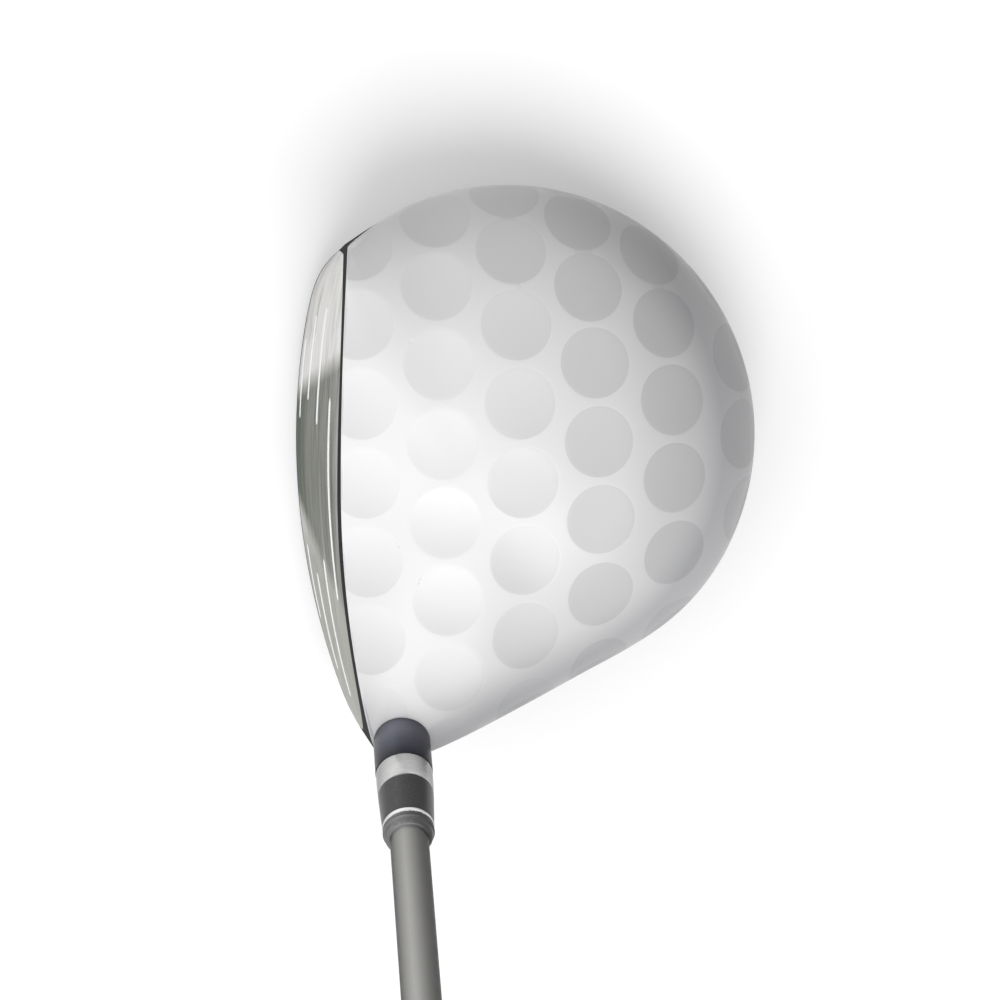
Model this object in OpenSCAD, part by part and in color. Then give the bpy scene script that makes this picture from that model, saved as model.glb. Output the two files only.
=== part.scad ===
// Adjustable golf driver: hollow titanium head with a composite crown, a bolt-on loft sleeve,
// ferrule, graphite shaft and rubber grip.
// Millimetres. The origin is the middle of the small flat under the sole, where the head rests.
// +Z is up, -Y is towards the target (the face), +Y the back, -X the toe and +X the heel.

/* [Head outline, seen from above] */
// Radius of the round back of the head
back_r = 59.4; // [57:0.1:61]
// Centre of the round back, heelwards
back_x = -4.3; // [-6:0.1:-3]
// Centre of the round back, backwards
back_y = 13.9; // [12:0.1:15]
// Direction in which the straight heel edge faces
heel_angle = 23.5; // [22:0.5:25]
// Distance from the origin to the straight heel edge
heel_side = 60.3; // [59:0.1:62]
// Distance from the origin to the heel end
heel_end = 70.6; // [69:0.1:72]
// Direction in which the heel end faces
heel_end_angle = -12; // [-16:1:-8]
// Crown edge above the face, at its middle
topline_y = -26.2; // [-27:0.1:-25]
// Leading edge, at its middle
leading_y = -34.8; // [-37:0.1:-33]
// Curve of the crown edge above the face, towards the toe
topline_r = 700; // [500:10:900]
// Curve of the crown edge above the face, towards the heel
topline_heel_r = 255; // [220:5:300]
// Curve of the leading edge
leading_r = 175; // [150:5:300]

/* [Head heights] */
// Top of the crown
crown_z = 61.5; // [58:0.5:63]
// Crown edge at the middle of the face
topline_z = 57; // [54:0.5:58]
// Leading edge above the ground
leading_z = 6; // [4:0.5:9]
// Crown edge at the toe
side_z = 31; // [28:0.5:34]
// How much lower the crown edge lies at the back
back_drop = 4; // [0:0.5:6]
// Crown edge beside the hosel
heel_z = 53; // [50:0.5:56]
// Height of the skirt below the crown edge
skirt_h = 6; // [4:0.5:8]

/* [Walls] */
// Wall of the head and thickness of the crown
wall = 1.6; // [1.2:0.1:2]
// Middle of the face plate
face_t = 3.2; // [2.5:0.1:4]
// Glue line under the crown
bond_t = 0.2; // [0.1:0.05:0.3]

/* [Hosel and sleeve] */
// Angle between the shaft and the ground
lie = 58; // [56:0.5:60]
// Where the shaft axis meets the ground, heelwards
hosel_x = 30.8; // [29:0.1:32]
// Where the shaft axis meets the ground, backwards
hosel_y = -12.2; // [-13:0.1:-11]
// Top of the hosel, along the shaft axis from the ground
hosel_top = 74; // [72:0.5:76]
// Diameter of the hosel
hosel_d = 13.2; // [13:0.1:13.5]
// Diameter of the sleeve inside the hosel
sleeve_d = 11.2; // [11:0.1:11.3]
// Running gap around what turns or slides
gap = 0.05; // [0.02:0.01:0.08]

/* [Shaft and grip] */
// Length of the club along the shaft axis from the ground
club_length = 1156; // [1120:1:1180]
// Diameter of the shaft at its tip
tip_d = 8.8; // [8.5:0.1:9]
// Diameter of the shaft at its butt
butt_d = 15.2; // [14.7:0.1:15.6]
// Length of the grip
grip_length = 268; // [255:1:275]
// Diameter of the grip at its mouth
grip_mouth_d = 17.6; // [17:0.1:19]
// Diameter of the grip at its cap
grip_butt_d = 27; // [26:0.1:28]
// Vent hole in the grip cap
vent_d = 4.8; // [4:0.1:5]

/* [Rear weight] */
// Distance of the weight behind the origin
weight_y = 54; // [50:0.5:56]
// Height of the weight's face above the ground
weight_z = 5.9; // [5.5:0.1:6.5]
// Slope of the sole at the weight
weight_tilt = 21.5; // [18:0.5:24]
// Diameter of the weight
weight_d = 17; // [15:0.5:18]

/* [Hidden] */
round_fn = 64;

// The crown edge and the leading edge: inset of the round back, front middle, front curve towards
// the toe and towards the heel, where the two meet, sharpness of the toe corner and inset of the
// heel end
top_rim = [0, topline_y, topline_r, topline_heel_r, 5, 250, 0];
low_rim = [1.2, leading_y, leading_r, leading_r, -2, 34, 1];
heel_sharpness = 32;
// Sharpness of the corners well inside the rims, and how fast they sharpen towards them
inner_sharpness = 9;
sharpen_power = 5;

// Columns of the head's grid: even steps along the face, then even angles around the back
face_step = 4;
face_from = -55;
face_to = 81;
back_columns = 48;
first_a = atan2(topline_y, face_from);
last_a = atan2(topline_y, face_to);
angles = concat([for (x = [face_from : face_step : face_to]) atan2(topline_y, x)],
    [for (i = [1 : back_columns - 1]) last_a + (360 + first_a - last_a) * i / back_columns]);
columns = len(angles);

// Rings of the sole, as shares of the way from its middle to its edge
flat_share = 0.25;
sole_rings = [flat_share, 0.34, 0.42, 0.52, 0.62, 0.71, 0.8, 0.88, 0.95, 1];
panel_rings = [2, 7];
sole_power = 2.4;
// Rings of the crown
crown_steps = 12;
dome_power = 2.2;
dome_round = 0.55;
// The face plate's place in the front wall
plate_rows = 5;
plate_low = 0.05;
plate_high_toe = 0.97;
plate_high_heel = 0.92;
plate_columns = [1, 34];
roll = 1;

// Stations along the shaft axis, from the ground
hosel_foot = 1.2;
screw_seat = 34;
bulkhead_t = 4;
sleeve_foot = 40.5;
shaft_foot = 50;
band_top = 81.2;
ring_foot = 91.9;
ring_top = 93.6;
ferrule_top = 96.4;
taper_from = 180;
taper_to = 1090;
cap_t = 4.5;
grip_top = club_length - cap_t;
grip_foot = club_length - grip_length;
butt_top = grip_top - 0.5;

// Radii
hosel_r = hosel_d / 2;
tip_r = tip_d / 2;
butt_r = butt_d / 2;
shaft_wall = 1.45;
epoxy_t = 0.1;
tape_t = 0.2;
band_r = 6.5;
band_top_r = 6.36;
ring_r = 5.86;
ferrule_end_r = 4.85;
bead_r = 0.35;
access_r = 4.6;
m5_r = 2.45;
m4_r = 1.95;
screw_head_r = 4.2;
screw_head_h = 7;
weight_h = 6.5;
weight_screw_head_r = 3.5;
weight_screw_head_h = 2.8;
port_wall = 1.4;
port_floor = 5;
port_lip = 0.4;

// ---- Shape of the head ----

function mix(a, b, t) = a + (b - a) * t;
function ease(t) = let (u = min(1, max(0, t))) u * u * (3 - 2 * u);
function smooth_min(v, k) =
    let (m = min(v)) m * pow([for (x = v) 1] * [for (x = v) pow(m / x, k)], -1 / k);

// Distance from the origin to a circle around it, and to a line, in direction a
function to_circle(a, c, r) =
    let (b = c * [cos(a), sin(a)]) b + sqrt(max(0, b * b - c * c + r * r));
function to_line(a, facing, d) = cos(a - facing) > 0.05 ? d / cos(a - facing) : 1000;

// The round back, running on along its tangent on the heel side
function back_edge(a, inset) =
    let (c = [back_x, back_y], r = back_r - inset, t = to_circle(a, c, r),
        hit = t * [cos(a), sin(a)] - c, facing = atan2(hit.y, hit.x))
    facing < heel_angle && facing > -90
        ? to_line(a, heel_angle, c * [cos(heel_angle), sin(heel_angle)] + r) : t;
function front_edge(a, rim, inset) =
    let (r = abs(a) < 90 && a > atan2(rim[1], rim[4]) ? rim[3] : rim[2])
    to_circle(a, [rim[4], rim[1] + r], r - inset);
// Distance from the origin to a rim: the nearest of the round back, the front curve, the heel edge
// and the heel end, with rounded corners
function rim_r(a, rim, inset, heel_k = heel_sharpness) = smooth_min([
    back_edge(a, rim[0] + inset),
    front_edge(a, rim, inset),
    to_line(a, heel_angle, heel_side - rim[0] - inset),
    to_line(a, heel_end_angle, heel_end - rim[6] - inset)],
    mix(rim[5], heel_k, ease(0.5 + cos(a))));

// Angle away from straight ahead
function off_front(a) = abs((a + 270) % 360 - 180);
// 1 along the face, 0 around the back
function front_share(a) = 1 - ease((off_front(a) - 58) / 42);
function dome_share(a) = 1 - ease((off_front(a) - 15) / 85);
// Arched height of the face, 1 at its middle and 0 at its ends
function arch(x) = let (u = min(1, abs(x) / 64)) pow(1 - pow(u, 2.2), 1 / 2.2);
function top_z(a) =
    let (r = rim_r(a, top_rim, 0), x = r * cos(a), y = r * sin(a),
        heel = ease((a + 75) / 50) - ease((a + 15) / 75),
        side = mix(side_z, heel_z, heel) - back_drop * ease(y / 60))
    mix(side, topline_z, arch(x) * front_share(a));
function low_z(a) =
    let (r = rim_r(a, low_rim, 0), x = r * cos(a), y = r * sin(a),
        side = side_z - back_drop * ease(y / 60) - skirt_h - 8 * ease((x - 40) / 22))
    mix(side, leading_z, arch(x) * front_share(a));

// Distance from the origin to share s of the way to a rim: the corners soften inwards
function share_r(a, s, rim, inset) =
    let (soft = [rim[0], rim[1], rim[2], rim[3], rim[4], inner_sharpness, rim[6]])
    s * mix(rim_r(a, soft, inset, inner_sharpness), rim_r(a, rim, inset), pow(s, sharpen_power));

function at(a, r, z) = [r * cos(a), r * sin(a), z];

// One point of the sole at share s of the way out, of the wall above it at share t of the way up,
// and of the crown at share s; inset is the depth below the outer surface
function sole_point(a, s, inset) =
    let (u = max(0, (s - flat_share) / (1 - flat_share)))
    at(a, share_r(a, s, low_rim, inset),
        low_z(a) * (1 - sqrt(max(0, 1 - pow(u, sole_power)))) + inset);
function wall_point(a, t, inset, edge) =
    at(a, mix(rim_r(a, low_rim, inset), rim_r(a, top_rim, edge), t) + roll * 4 * t * (1 - t),
        mix(low_z(a) + min(inset, wall), top_z(a) - bond_t - edge * front_share(a), t));
function crown_point(a, s, inset) =
    let (edge = top_z(a) - inset * front_share(a))
    at(a, share_r(a, s, top_rim, inset), mix(edge, crown_z - inset,
        pow(max(0, 1 - pow(s, dome_power)), mix(dome_round, 1, dome_share(a)))));

// Shares of the wall's height: the plate's edges close in at its ends, to round its corners
function wall_shares(a) =
    let (x = sin(a) < -0.2 ? topline_y / tan(a) : face_to,
        end = 0.22 * pow(min(1, abs(x - 13) / 70), 5),
        high = mix(plate_high_toe, plate_high_heel, ease((x + 50) / 100)))
    concat([for (k = [0 : plate_rows]) mix(plate_low + end, high - end, k / plate_rows)], [1]);
function body_grid(inset) = concat(
    [for (s = sole_rings) [for (a = angles) sole_point(a, s, inset)]],
    [for (k = [0 : plate_rows + 1])
        [for (a = angles) wall_point(a, wall_shares(a)[k], inset, inset)]]);

// ---- Sheets of material between two grids of points ----

// in_panel says where the body is open for the face plate and the two sole panels
first_wall_row = len(sole_rings);
function in_plate(j, i) =
    j >= first_wall_row && j < first_wall_row + plate_rows
    && i >= plate_columns[0] && i < plate_columns[1];
panel_toe = [106, 166];
panel_heel = [14, 74];
function columns_in(span) =
    [for (i = [0 : columns - 1]) if (angles[i] >= span[0] && angles[i] <= span[1]) i];
toe_columns = columns_in(panel_toe);
heel_columns = columns_in(panel_heel);
function within(i, list) = i >= list[0] && i < list[len(list) - 1];
function in_panel(j, i) =
    j >= panel_rings[0] && j < panel_rings[1]
    && (within(i, toe_columns) || within(i, heel_columns));

// Two triangles for a quad, always split from its first corner
function quad(a, b, c, d) = [[a, b, c], [a, c, d]];

// A closed sheet: cells kept by the mask, and walls along the mask's edges.
// tip holds the two middle points of a closed end, or nothing. domed is true where the rows run
// outwards over the top of the head, and false where they run outwards under it.
module sheet(outer, inner, mask, wrap, tip = [], domed = false) {
    rows = len(outer);
    cols = len(outer[0]);
    spans = wrap ? cols : cols - 1;
    deep = rows * cols;
    centre = 2 * deep;
    function o(j, i) = j * cols + i % cols;
    function n(j, i) = deep + o(j, i);
    function kept(j, i) =
        j < 0 ? len(tip) > 0
        : j >= rows - 1 ? false
        : wrap ? mask[j][(i + spans) % spans]
        : i < 0 || i >= spans ? false : mask[j][i];
    // The edge from p to q, closed between the two surfaces
    function side(p, q) = [[p, q, p + deep], [q, q + deep, p + deep]];
    function flip(tris) = [for (t = tris) [t[2], t[1], t[0]]];
    skins = [for (j = [0 : rows - 2]) for (i = [0 : spans - 1]) if (kept(j, i))
        each concat(quad(o(j, i), o(j, i + 1), o(j + 1, i + 1), o(j + 1, i)),
            flip(quad(n(j, i), n(j, i + 1), n(j + 1, i + 1), n(j + 1, i))))];
    across = [for (j = [0 : rows - 1]) for (i = [0 : spans - 1]) if (kept(j, i) != kept(j - 1, i))
        each kept(j, i) ? flip(side(o(j, i), o(j, i + 1))) : side(o(j, i), o(j, i + 1))];
    along = [for (j = [0 : rows - 2]) for (i = [0 : wrap ? cols - 1 : cols - 1])
        if (kept(j, i) != kept(j, i - 1))
            each kept(j, i) ? side(o(j, i), o(j + 1, i)) : flip(side(o(j, i), o(j + 1, i)))];
    fan = len(tip) == 0 ? [] : [for (i = [0 : spans - 1])
        each [[centre, o(0, i + 1), o(0, i)], [centre + 1, n(0, i), n(0, i + 1)]]];
    all = concat(skins, across, along, fan);
    polyhedron(points = concat([for (r = outer) each r], [for (r = inner) each r], tip),
        faces = domed ? all : flip(all), convexity = 6);
}

// Part of a grid, from row j0 to j1 and column i0 to i1
function part_of(grid, j0, j1, i0, i1) =
    [for (j = [j0 : j1]) [for (i = [i0 : i1]) grid[j][i]]];
function all_kept(rows, cols) = [for (j = [0 : rows - 1]) [for (i = [0 : cols - 1]) true]];

// ---- Places ----

module on_shaft(t) {
    translate([hosel_x, hosel_y, 0])
        rotate([0, 90 - lie, 0])
            translate([0, 0, t])
                children();
}
// Depth below the sole's surface at the rear weight
module at_weight(depth) {
    translate([0, weight_y, weight_z])
        rotate([180 + weight_tilt, 0, 0])
            translate([0, 0, -depth])
                children();
}
// A tube from z0 to z1
module tube(r_out, r_in, z0, z1) {
    difference() {
        translate([0, 0, z0])
            cylinder(r = r_out, h = z1 - z0, $fn = round_fn);
        translate([0, 0, z0 - 1])
            cylinder(r = r_in, h = z1 - z0 + 2, $fn = round_fn);
    }
}
module turned(profile) {
    rotate_extrude($fn = round_fn)
        polygon(profile);
}
module hosel_hole() {
    on_shaft(-5)
        cylinder(r = hosel_r, h = hosel_top, $fn = round_fn);
}
// A six-lobed drive socket, depth deep below z = 0
module star_socket(r, depth) {
    translate([0, 0, -depth])
        cylinder(r = 0.72 * r, h = depth + 1, $fn = 32);
    for (i = [0 : 5])
        rotate([0, 0, 60 * i])
            translate([0.72 * r, 0, -depth])
                cylinder(r = 0.28 * r, h = depth + 1, $fn = 24);
}

// ---- Head ----

// Cast titanium body: sole, skirt and the frame around the face
module head_body() {
    outer = body_grid(0);
    inner = body_grid(wall);
    mask = [for (j = [0 : len(outer) - 2])
        [for (i = [0 : columns - 1]) !in_plate(j, i) && !in_panel(j, i)]];
    color([0.16, 0.17, 0.19])
        difference() {
            sheet(outer, inner, mask, true, [[0, 0, 0], [0, 0, wall]]);
            hosel_hole();
            at_weight(12)
                cylinder(r = weight_d / 2 + gap + port_wall, h = 20, $fn = round_fn);
        }
}

// Hosel with its bores: the sleeve's from above, the wrench's from below
module hosel_tube() {
    color([0.2, 0.21, 0.25])
        difference() {
            on_shaft(0)
                cylinder(r = hosel_r, h = hosel_top, $fn = round_fn);
            translate([0, 0, hosel_foot - 40])
                cube([200, 200, 80], center = true);
            on_shaft(screw_seat + bulkhead_t)
                cylinder(r = sleeve_d / 2 + gap, h = hosel_top, $fn = round_fn);
            on_shaft(screw_seat - 1)
                cylinder(r = m5_r + gap, h = bulkhead_t + 2, $fn = round_fn);
            on_shaft(-10)
                cylinder(r = access_r, h = screw_seat + 10, $fn = round_fn);
        }
}

// Face plate, thin at its edge and thick in the middle
module face_plate() {
    j0 = first_wall_row;
    j1 = first_wall_row + plate_rows;
    i0 = plate_columns[0];
    i1 = plate_columns[1];
    edge = body_grid(wall);
    middle = [for (k = [0 : plate_rows])
        [for (i = [i0 : i1]) wall_point(angles[i], wall_shares(angles[i])[k], face_t, face_t)]];
    inner = [for (j = [j0 : j1]) [for (i = [i0 : i1])
        j == j0 || j == j1 || i == i0 || i == i1 ? edge[j][i] : middle[j - j0][i - i0]]];
    color([0.72, 0.73, 0.72])
        sheet(part_of(body_grid(0), j0, j1, i0, i1), inner,
            all_kept(plate_rows, i1 - i0), false);
}

// Moulded crown shell with a hole for the hosel
module crown() {
    shares = [for (k = [1 : crown_steps]) sin(90 * k / crown_steps)];
    outer = [for (s = shares) [for (a = angles) crown_point(a, s, 0)]];
    inner = [for (s = shares) [for (a = angles) crown_point(a, s, wall)]];
    color([0.95, 0.95, 0.96])
        difference() {
            sheet(outer, inner, all_kept(crown_steps - 1, columns), true,
                [[0, 0, crown_z], [0, 0, crown_z - wall]], domed = true);
            hosel_hole();
        }
}

// Glue line between the body's rim and the crown
module crown_bond() {
    function loop(inset, drop) = [for (a = angles)
        at(a, rim_r(a, top_rim, inset), top_z(a) - inset * front_share(a) - drop)];
    color([0.1, 0.1, 0.11])
        difference() {
            sheet([loop(0, bond_t), loop(0, 0)], [loop(wall, bond_t), loop(wall, 0)],
                all_kept(1, columns), true);
            hosel_hole();
        }
}

// Composite sole panels on both sides of the keel
module sole_panel(list) {
    j0 = panel_rings[0];
    j1 = panel_rings[1];
    i0 = list[0];
    i1 = list[len(list) - 1];
    color([0.13, 0.13, 0.14])
        sheet(part_of(body_grid(0), j0, j1, i0, i1), part_of(body_grid(wall), j0, j1, i0, i1),
            all_kept(j1 - j0, i1 - i0), false);
}
module sole_panel_toe() {
    sole_panel(toe_columns);
}
module sole_panel_heel() {
    sole_panel(heel_columns);
}

// Cup for the rear weight, with a threaded boss in its floor
module weight_port() {
    cup_r = weight_d / 2 + gap;
    deep = weight_h + port_lip;
    color([0.3, 0.3, 0.32])
        at_weight(deep + port_floor)
            difference() {
                union() {
                    translate([0, 0, port_floor - 1.5])
                        cylinder(r = cup_r + port_wall, h = deep + 1.5, $fn = round_fn);
                    cylinder(r = 5, h = port_floor, $fn = round_fn);
                }
                translate([0, 0, port_floor])
                    cylinder(r = cup_r, h = deep + 1, $fn = round_fn);
                translate([0, 0, -1])
                    cylinder(r = m4_r + gap, h = port_floor + 2, $fn = round_fn);
            }
}

module rear_weight() {
    color([0.55, 0.55, 0.57])
        at_weight(weight_h + port_lip)
            difference() {
                turned([[0, 0], [weight_d / 2, 0], [weight_d / 2, weight_h - 0.6],
                    [weight_d / 2 - 0.6, weight_h], [0, weight_h]]);
                translate([0, 0, -1])
                    cylinder(r = m4_r + 0.15, h = weight_h + 2, $fn = round_fn);
                translate([0, 0, weight_h - weight_screw_head_h - 0.5])
                    cylinder(r = weight_screw_head_r + 0.15, h = weight_h, $fn = round_fn);
            }
}

module weight_screw() {
    seat = weight_h - weight_screw_head_h - 0.5 + gap;
    shank = seat + port_floor - 0.5;
    color([0.12, 0.12, 0.13])
        at_weight(weight_h + port_lip - seat)
            difference() {
                turned([[0, -shank], [m4_r - 0.4, -shank], [m4_r, 0.5 - shank], [m4_r, 0],
                    [weight_screw_head_r, 0], [weight_screw_head_r, weight_screw_head_h - 0.4],
                    [weight_screw_head_r - 0.4, weight_screw_head_h], [0, weight_screw_head_h]]);
                translate([0, 0, weight_screw_head_h])
                    star_socket(2.2, 2);
            }
}

// Soft glue on the inside of the sole that catches loose crumbs
module rattle_glue() {
    color([0.85, 0.8, 0.6])
        translate([-1, 3, wall])
            turned([[0, 0], [8, 0], [7.4, 0.8], [5.5, 1.5], [3, 1.8], [0, 1.9]]);
}

// ---- Sleeve and hosel screw ----

module loft_sleeve() {
    bore = tip_r + epoxy_t;
    r = sleeve_d / 2;
    color([0.8, 0.8, 0.8])
        on_shaft(0)
            turned([[m5_r + gap, sleeve_foot], [r - 0.6, sleeve_foot], [r, sleeve_foot + 0.8],
                [r, hosel_top + gap], [band_r, hosel_top + gap], [band_r, hosel_top + 4],
                [band_top_r, band_top], [bore, band_top], [bore, shaft_foot],
                [m5_r + gap, shaft_foot]]);
}

module hosel_screw() {
    head_foot = screw_seat - gap - screw_head_h;
    tip = shaft_foot - 1.5;
    color([0.45, 0.45, 0.47])
        on_shaft(0)
            difference() {
                turned([[0, head_foot], [screw_head_r - 0.5, head_foot],
                    [screw_head_r, head_foot + 0.5], [screw_head_r, screw_seat - gap],
                    [m5_r, screw_seat - gap], [m5_r, tip - 0.6], [m5_r - 0.6, tip], [0, tip]]);
                translate([0, 0, head_foot])
                    mirror([0, 0, 1])
                        star_socket(2.3, 4);
            }
}

// Rubber ring that keeps the hosel screw in the head
module screw_retainer() {
    seat = screw_seat + bulkhead_t;
    color([0.08, 0.08, 0.08])
        on_shaft(0)
            tube(4.6, m5_r + gap, seat + gap, seat + 1.4);
}

// ---- Ferrule ----

module ferrule_base() {
    mid = (band_top + ring_foot) / 2;
    color([0.07, 0.07, 0.08])
        on_shaft(0)
            turned([[tip_r, band_top], [band_top_r, band_top], [6.3, band_top + 2],
                [6.16, mid], [5.98, ring_foot - 2], [ring_r, ring_foot], [tip_r, ring_foot]]);
}
module ferrule_ring() {
    color([0.85, 0.85, 0.86])
        on_shaft(0)
            turned([[tip_r, ring_foot], [ring_r, ring_foot], [ring_r + 0.04, ring_foot + 0.5],
                [ring_r - 0.04, ring_top], [tip_r, ring_top]]);
}
// Rounded end with one raised bead
module ferrule_end() {
    bead = ring_top + 1.6;
    r = ring_r - 0.04;
    color([0.07, 0.07, 0.08])
        on_shaft(0)
            turned(concat([[tip_r, ring_top], [r, ring_top], [r - 0.12, bead - bead_r]],
                [for (a = [-60 : 30 : 60]) [r - 0.3 + bead_r * cos(a), bead + bead_r * sin(a)]],
                [[r - 0.25, bead + 0.6]],
                [for (a = [10 : 20 : 90])
                    [ferrule_end_r + (r - 0.3 - ferrule_end_r) * cos(a),
                        bead + 1 + (ferrule_top - bead - 1) * sin(a)]],
                [[tip_r, ferrule_top]]));
}

// ---- Shaft ----

module shaft() {
    color([0.42, 0.42, 0.41])
        on_shaft(0)
            turned([[tip_r - shaft_wall, shaft_foot], [tip_r, shaft_foot], [tip_r, taper_from],
                [butt_r, taper_to], [butt_r, butt_top], [butt_r - 1, butt_top],
                [butt_r - 1, taper_to], [tip_r - shaft_wall, taper_from]]);
}
module shaft_epoxy() {
    color([0.8, 0.78, 0.7])
        on_shaft(0)
            tube(tip_r + epoxy_t, tip_r, shaft_foot, band_top);
}
module tip_plug() {
    color([0.75, 0.6, 0.3])
        on_shaft(0)
            turned([[0, shaft_foot], [tip_r - shaft_wall, shaft_foot],
                [tip_r - shaft_wall, shaft_foot + 11], [tip_r - shaft_wall - 0.5, shaft_foot + 12],
                [0, shaft_foot + 12]]);
}

// ---- Grip ----

function shaft_r(t) = t < taper_to ? mix(tip_r, butt_r, (t - taper_from) / (taper_to - taper_from))
    : butt_r;
tape_foot = grip_foot + 4;

module grip_tape() {
    color([0.85, 0.84, 0.78])
        on_shaft(0)
            turned([[shaft_r(tape_foot), tape_foot], [shaft_r(tape_foot) + tape_t, tape_foot],
                [butt_r + tape_t, taper_to], [butt_r + tape_t, butt_top], [butt_r, butt_top],
                [butt_r, taper_to]]);
}
module grip() {
    inner = shaft_r(grip_foot) + tape_t;
    color([0.06, 0.06, 0.06])
        on_shaft(0)
            turned(concat([[inner, grip_foot]],
                [for (a = [0 : 22.5 : 90])
                    [grip_mouth_d / 2 - 1.2 + 1.2 * sin(a), grip_foot + 1.2 - 1.2 * cos(a)]],
                [[grip_mouth_d / 2 + 1.1, grip_foot + 95], [11.4, grip_top - 60],
                    [12.4, grip_top - 25], [grip_butt_d / 2, grip_top - 4],
                    [grip_butt_d / 2, grip_top], [butt_r + tape_t, grip_top],
                    [butt_r + tape_t, taper_to]]));
}
module grip_cap() {
    r = grip_butt_d / 2;
    color([0.06, 0.06, 0.06])
        on_shaft(grip_top)
            difference() {
                turned(concat([[0, 0], [r, 0], [r, 1]],
                    [for (a = [15 : 15 : 90]) [r - 3 + 3 * cos(a), 1 + (cap_t - 1) * sin(a)]],
                    [[0, cap_t]]));
                translate([0, 0, -1])
                    cylinder(r = vent_d / 2, h = cap_t + 2, $fn = round_fn);
            }
}

head_body();
hosel_tube();
face_plate();
crown();
crown_bond();
sole_panel_toe();
sole_panel_heel();
weight_port();
rear_weight();
weight_screw();
rattle_glue();
loft_sleeve();
hosel_screw();
screw_retainer();
ferrule_base();
ferrule_ring();
ferrule_end();
shaft();
shaft_epoxy();
tip_plug();
grip_tape();
grip();
grip_cap();
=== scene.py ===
"""Golf driver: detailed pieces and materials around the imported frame.

Shapes are computed in millimetres, in the frame of the CAD model, and turned into metres when a
mesh is made. +Z is up, -Y is the face's side, -X the toe and +X the heel.
"""

import math

import bmesh
import bpy
import numpy as np
from mathutils import Matrix, Vector


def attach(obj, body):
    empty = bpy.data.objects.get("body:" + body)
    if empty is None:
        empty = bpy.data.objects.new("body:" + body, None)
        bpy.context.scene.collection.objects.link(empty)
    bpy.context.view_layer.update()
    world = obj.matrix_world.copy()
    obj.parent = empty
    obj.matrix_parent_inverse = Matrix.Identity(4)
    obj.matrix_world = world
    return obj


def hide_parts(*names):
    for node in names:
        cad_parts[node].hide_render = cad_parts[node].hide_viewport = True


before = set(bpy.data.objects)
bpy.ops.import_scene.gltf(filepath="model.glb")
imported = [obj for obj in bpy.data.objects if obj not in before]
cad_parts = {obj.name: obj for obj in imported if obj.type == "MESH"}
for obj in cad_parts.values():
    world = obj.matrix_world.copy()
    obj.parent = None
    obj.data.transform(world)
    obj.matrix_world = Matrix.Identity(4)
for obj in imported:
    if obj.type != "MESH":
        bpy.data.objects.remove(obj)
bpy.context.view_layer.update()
MM = 0.001

# ---------------------------------------------------------------- sizes, the same as the CAD's

BACK_R, BACK_X, BACK_Y = 59.4, -4.3, 13.9
HEEL_ANGLE, HEEL_SIDE = 23.5, 60.3
HEEL_END, HEEL_END_ANGLE = 70.6, -12.0
TOPLINE_Y = -26.2
# Inset of the round back, front middle, front curve at toe and heel, where they meet, sharpness of
# the toe corner, inset of the heel end
TOP_RIM = (0.0, TOPLINE_Y, 700.0, 255.0, 5.0, 250.0, 0.0)
LOW_RIM = (1.2, -34.8, 175.0, 175.0, -2.0, 34.0, 1.0)
HEEL_SHARP, INNER_SHARP, SHARPEN, SHARPEN_CROWN = 32.0, 9.0, 5.0, 12.0
CROWN_Z, TOPLINE_Z, LEADING_Z = 61.5, 57.0, 6.0
SIDE_Z, BACK_DROP, HEEL_Z, SKIRT_H = 31.0, 4.0, 53.0, 6.0
WALL, FACE_T, BOND_T = 1.6, 3.2, 0.2
FLAT_SHARE, SOLE_POWER = 0.25, 2.4
SOLE_RINGS = (0.25, 0.34, 0.42, 0.52, 0.62, 0.71, 0.8, 0.88, 0.95, 1.0)
PANEL_RINGS = (2, 7)
DOME_POWER, DOME_ROUND = 2.2, 0.55
PLATE_ROWS, PLATE_COLUMNS = 5, (1, 34)
PLATE_LOW, PLATE_HIGH_TOE, PLATE_HIGH_HEEL = 0.05, 0.97, 0.92
FACE_FROM, FACE_TO, FACE_STEP, BACK_COLUMNS = -55, 81, 4, 48
PANEL_TOE, PANEL_HEEL = (106, 166), (14, 74)

LIE, HOSEL_X, HOSEL_Y = 58.0, 30.8, -12.2
HOSEL_FOOT, HOSEL_TOP, HOSEL_R, SLEEVE_R, GAP = 1.2, 74.0, 6.6, 5.6, 0.05
DOME_T = 63.5       # where the hosel starts to round off towards the crown
SCREW_SEAT, BULKHEAD, ACCESS_R, M5_R = 34.0, 4.0, 4.6, 2.45
SLEEVE_FOOT, SHAFT_FOOT, BAND_TOP = 40.5, 50.0, 81.2
RING_FOOT, RING_TOP, FERRULE_TOP = 91.9, 93.0, 96.4
BAND_R, BAND_TOP_R, RING_R, FERRULE_END_R = 6.5, 6.36, 5.86, 4.85
TIP_R, BUTT_R, SHAFT_WALL, EPOXY = 4.4, 7.6, 1.45, 0.1
TAPER_FROM, TAPER_TO, BUTT_TOP = 180.0, 1090.0, 1151.0
GRIP_FOOT, GRIP_TOP, CAP_T, TAPE = 888.0, 1151.5, 4.5, 0.2
GRIP_MOUTH_R, GRIP_BUTT_R, VENT_R = 8.8, 13.5, 2.4
WEIGHT_Y, WEIGHT_Z, WEIGHT_TILT, WEIGHT_R = 54.0, 5.9, 21.5, 8.5
WEIGHT_H, PORT_LIP = 6.5, 0.4

FINE = 6            # columns of the meshes here for each column of the CAD's grid
ROUND = 96          # sides of the turned pieces


# ---------------------------------------------------------------- shape of the head

def cosd(a):
    return np.cos(np.radians(a))


def sind(a):
    return np.sin(np.radians(a))


def mix(a, b, t):
    return a + (b - a) * t


def ease(t):
    u = np.clip(t, 0, 1)
    return u * u * (3 - 2 * u)


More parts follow.
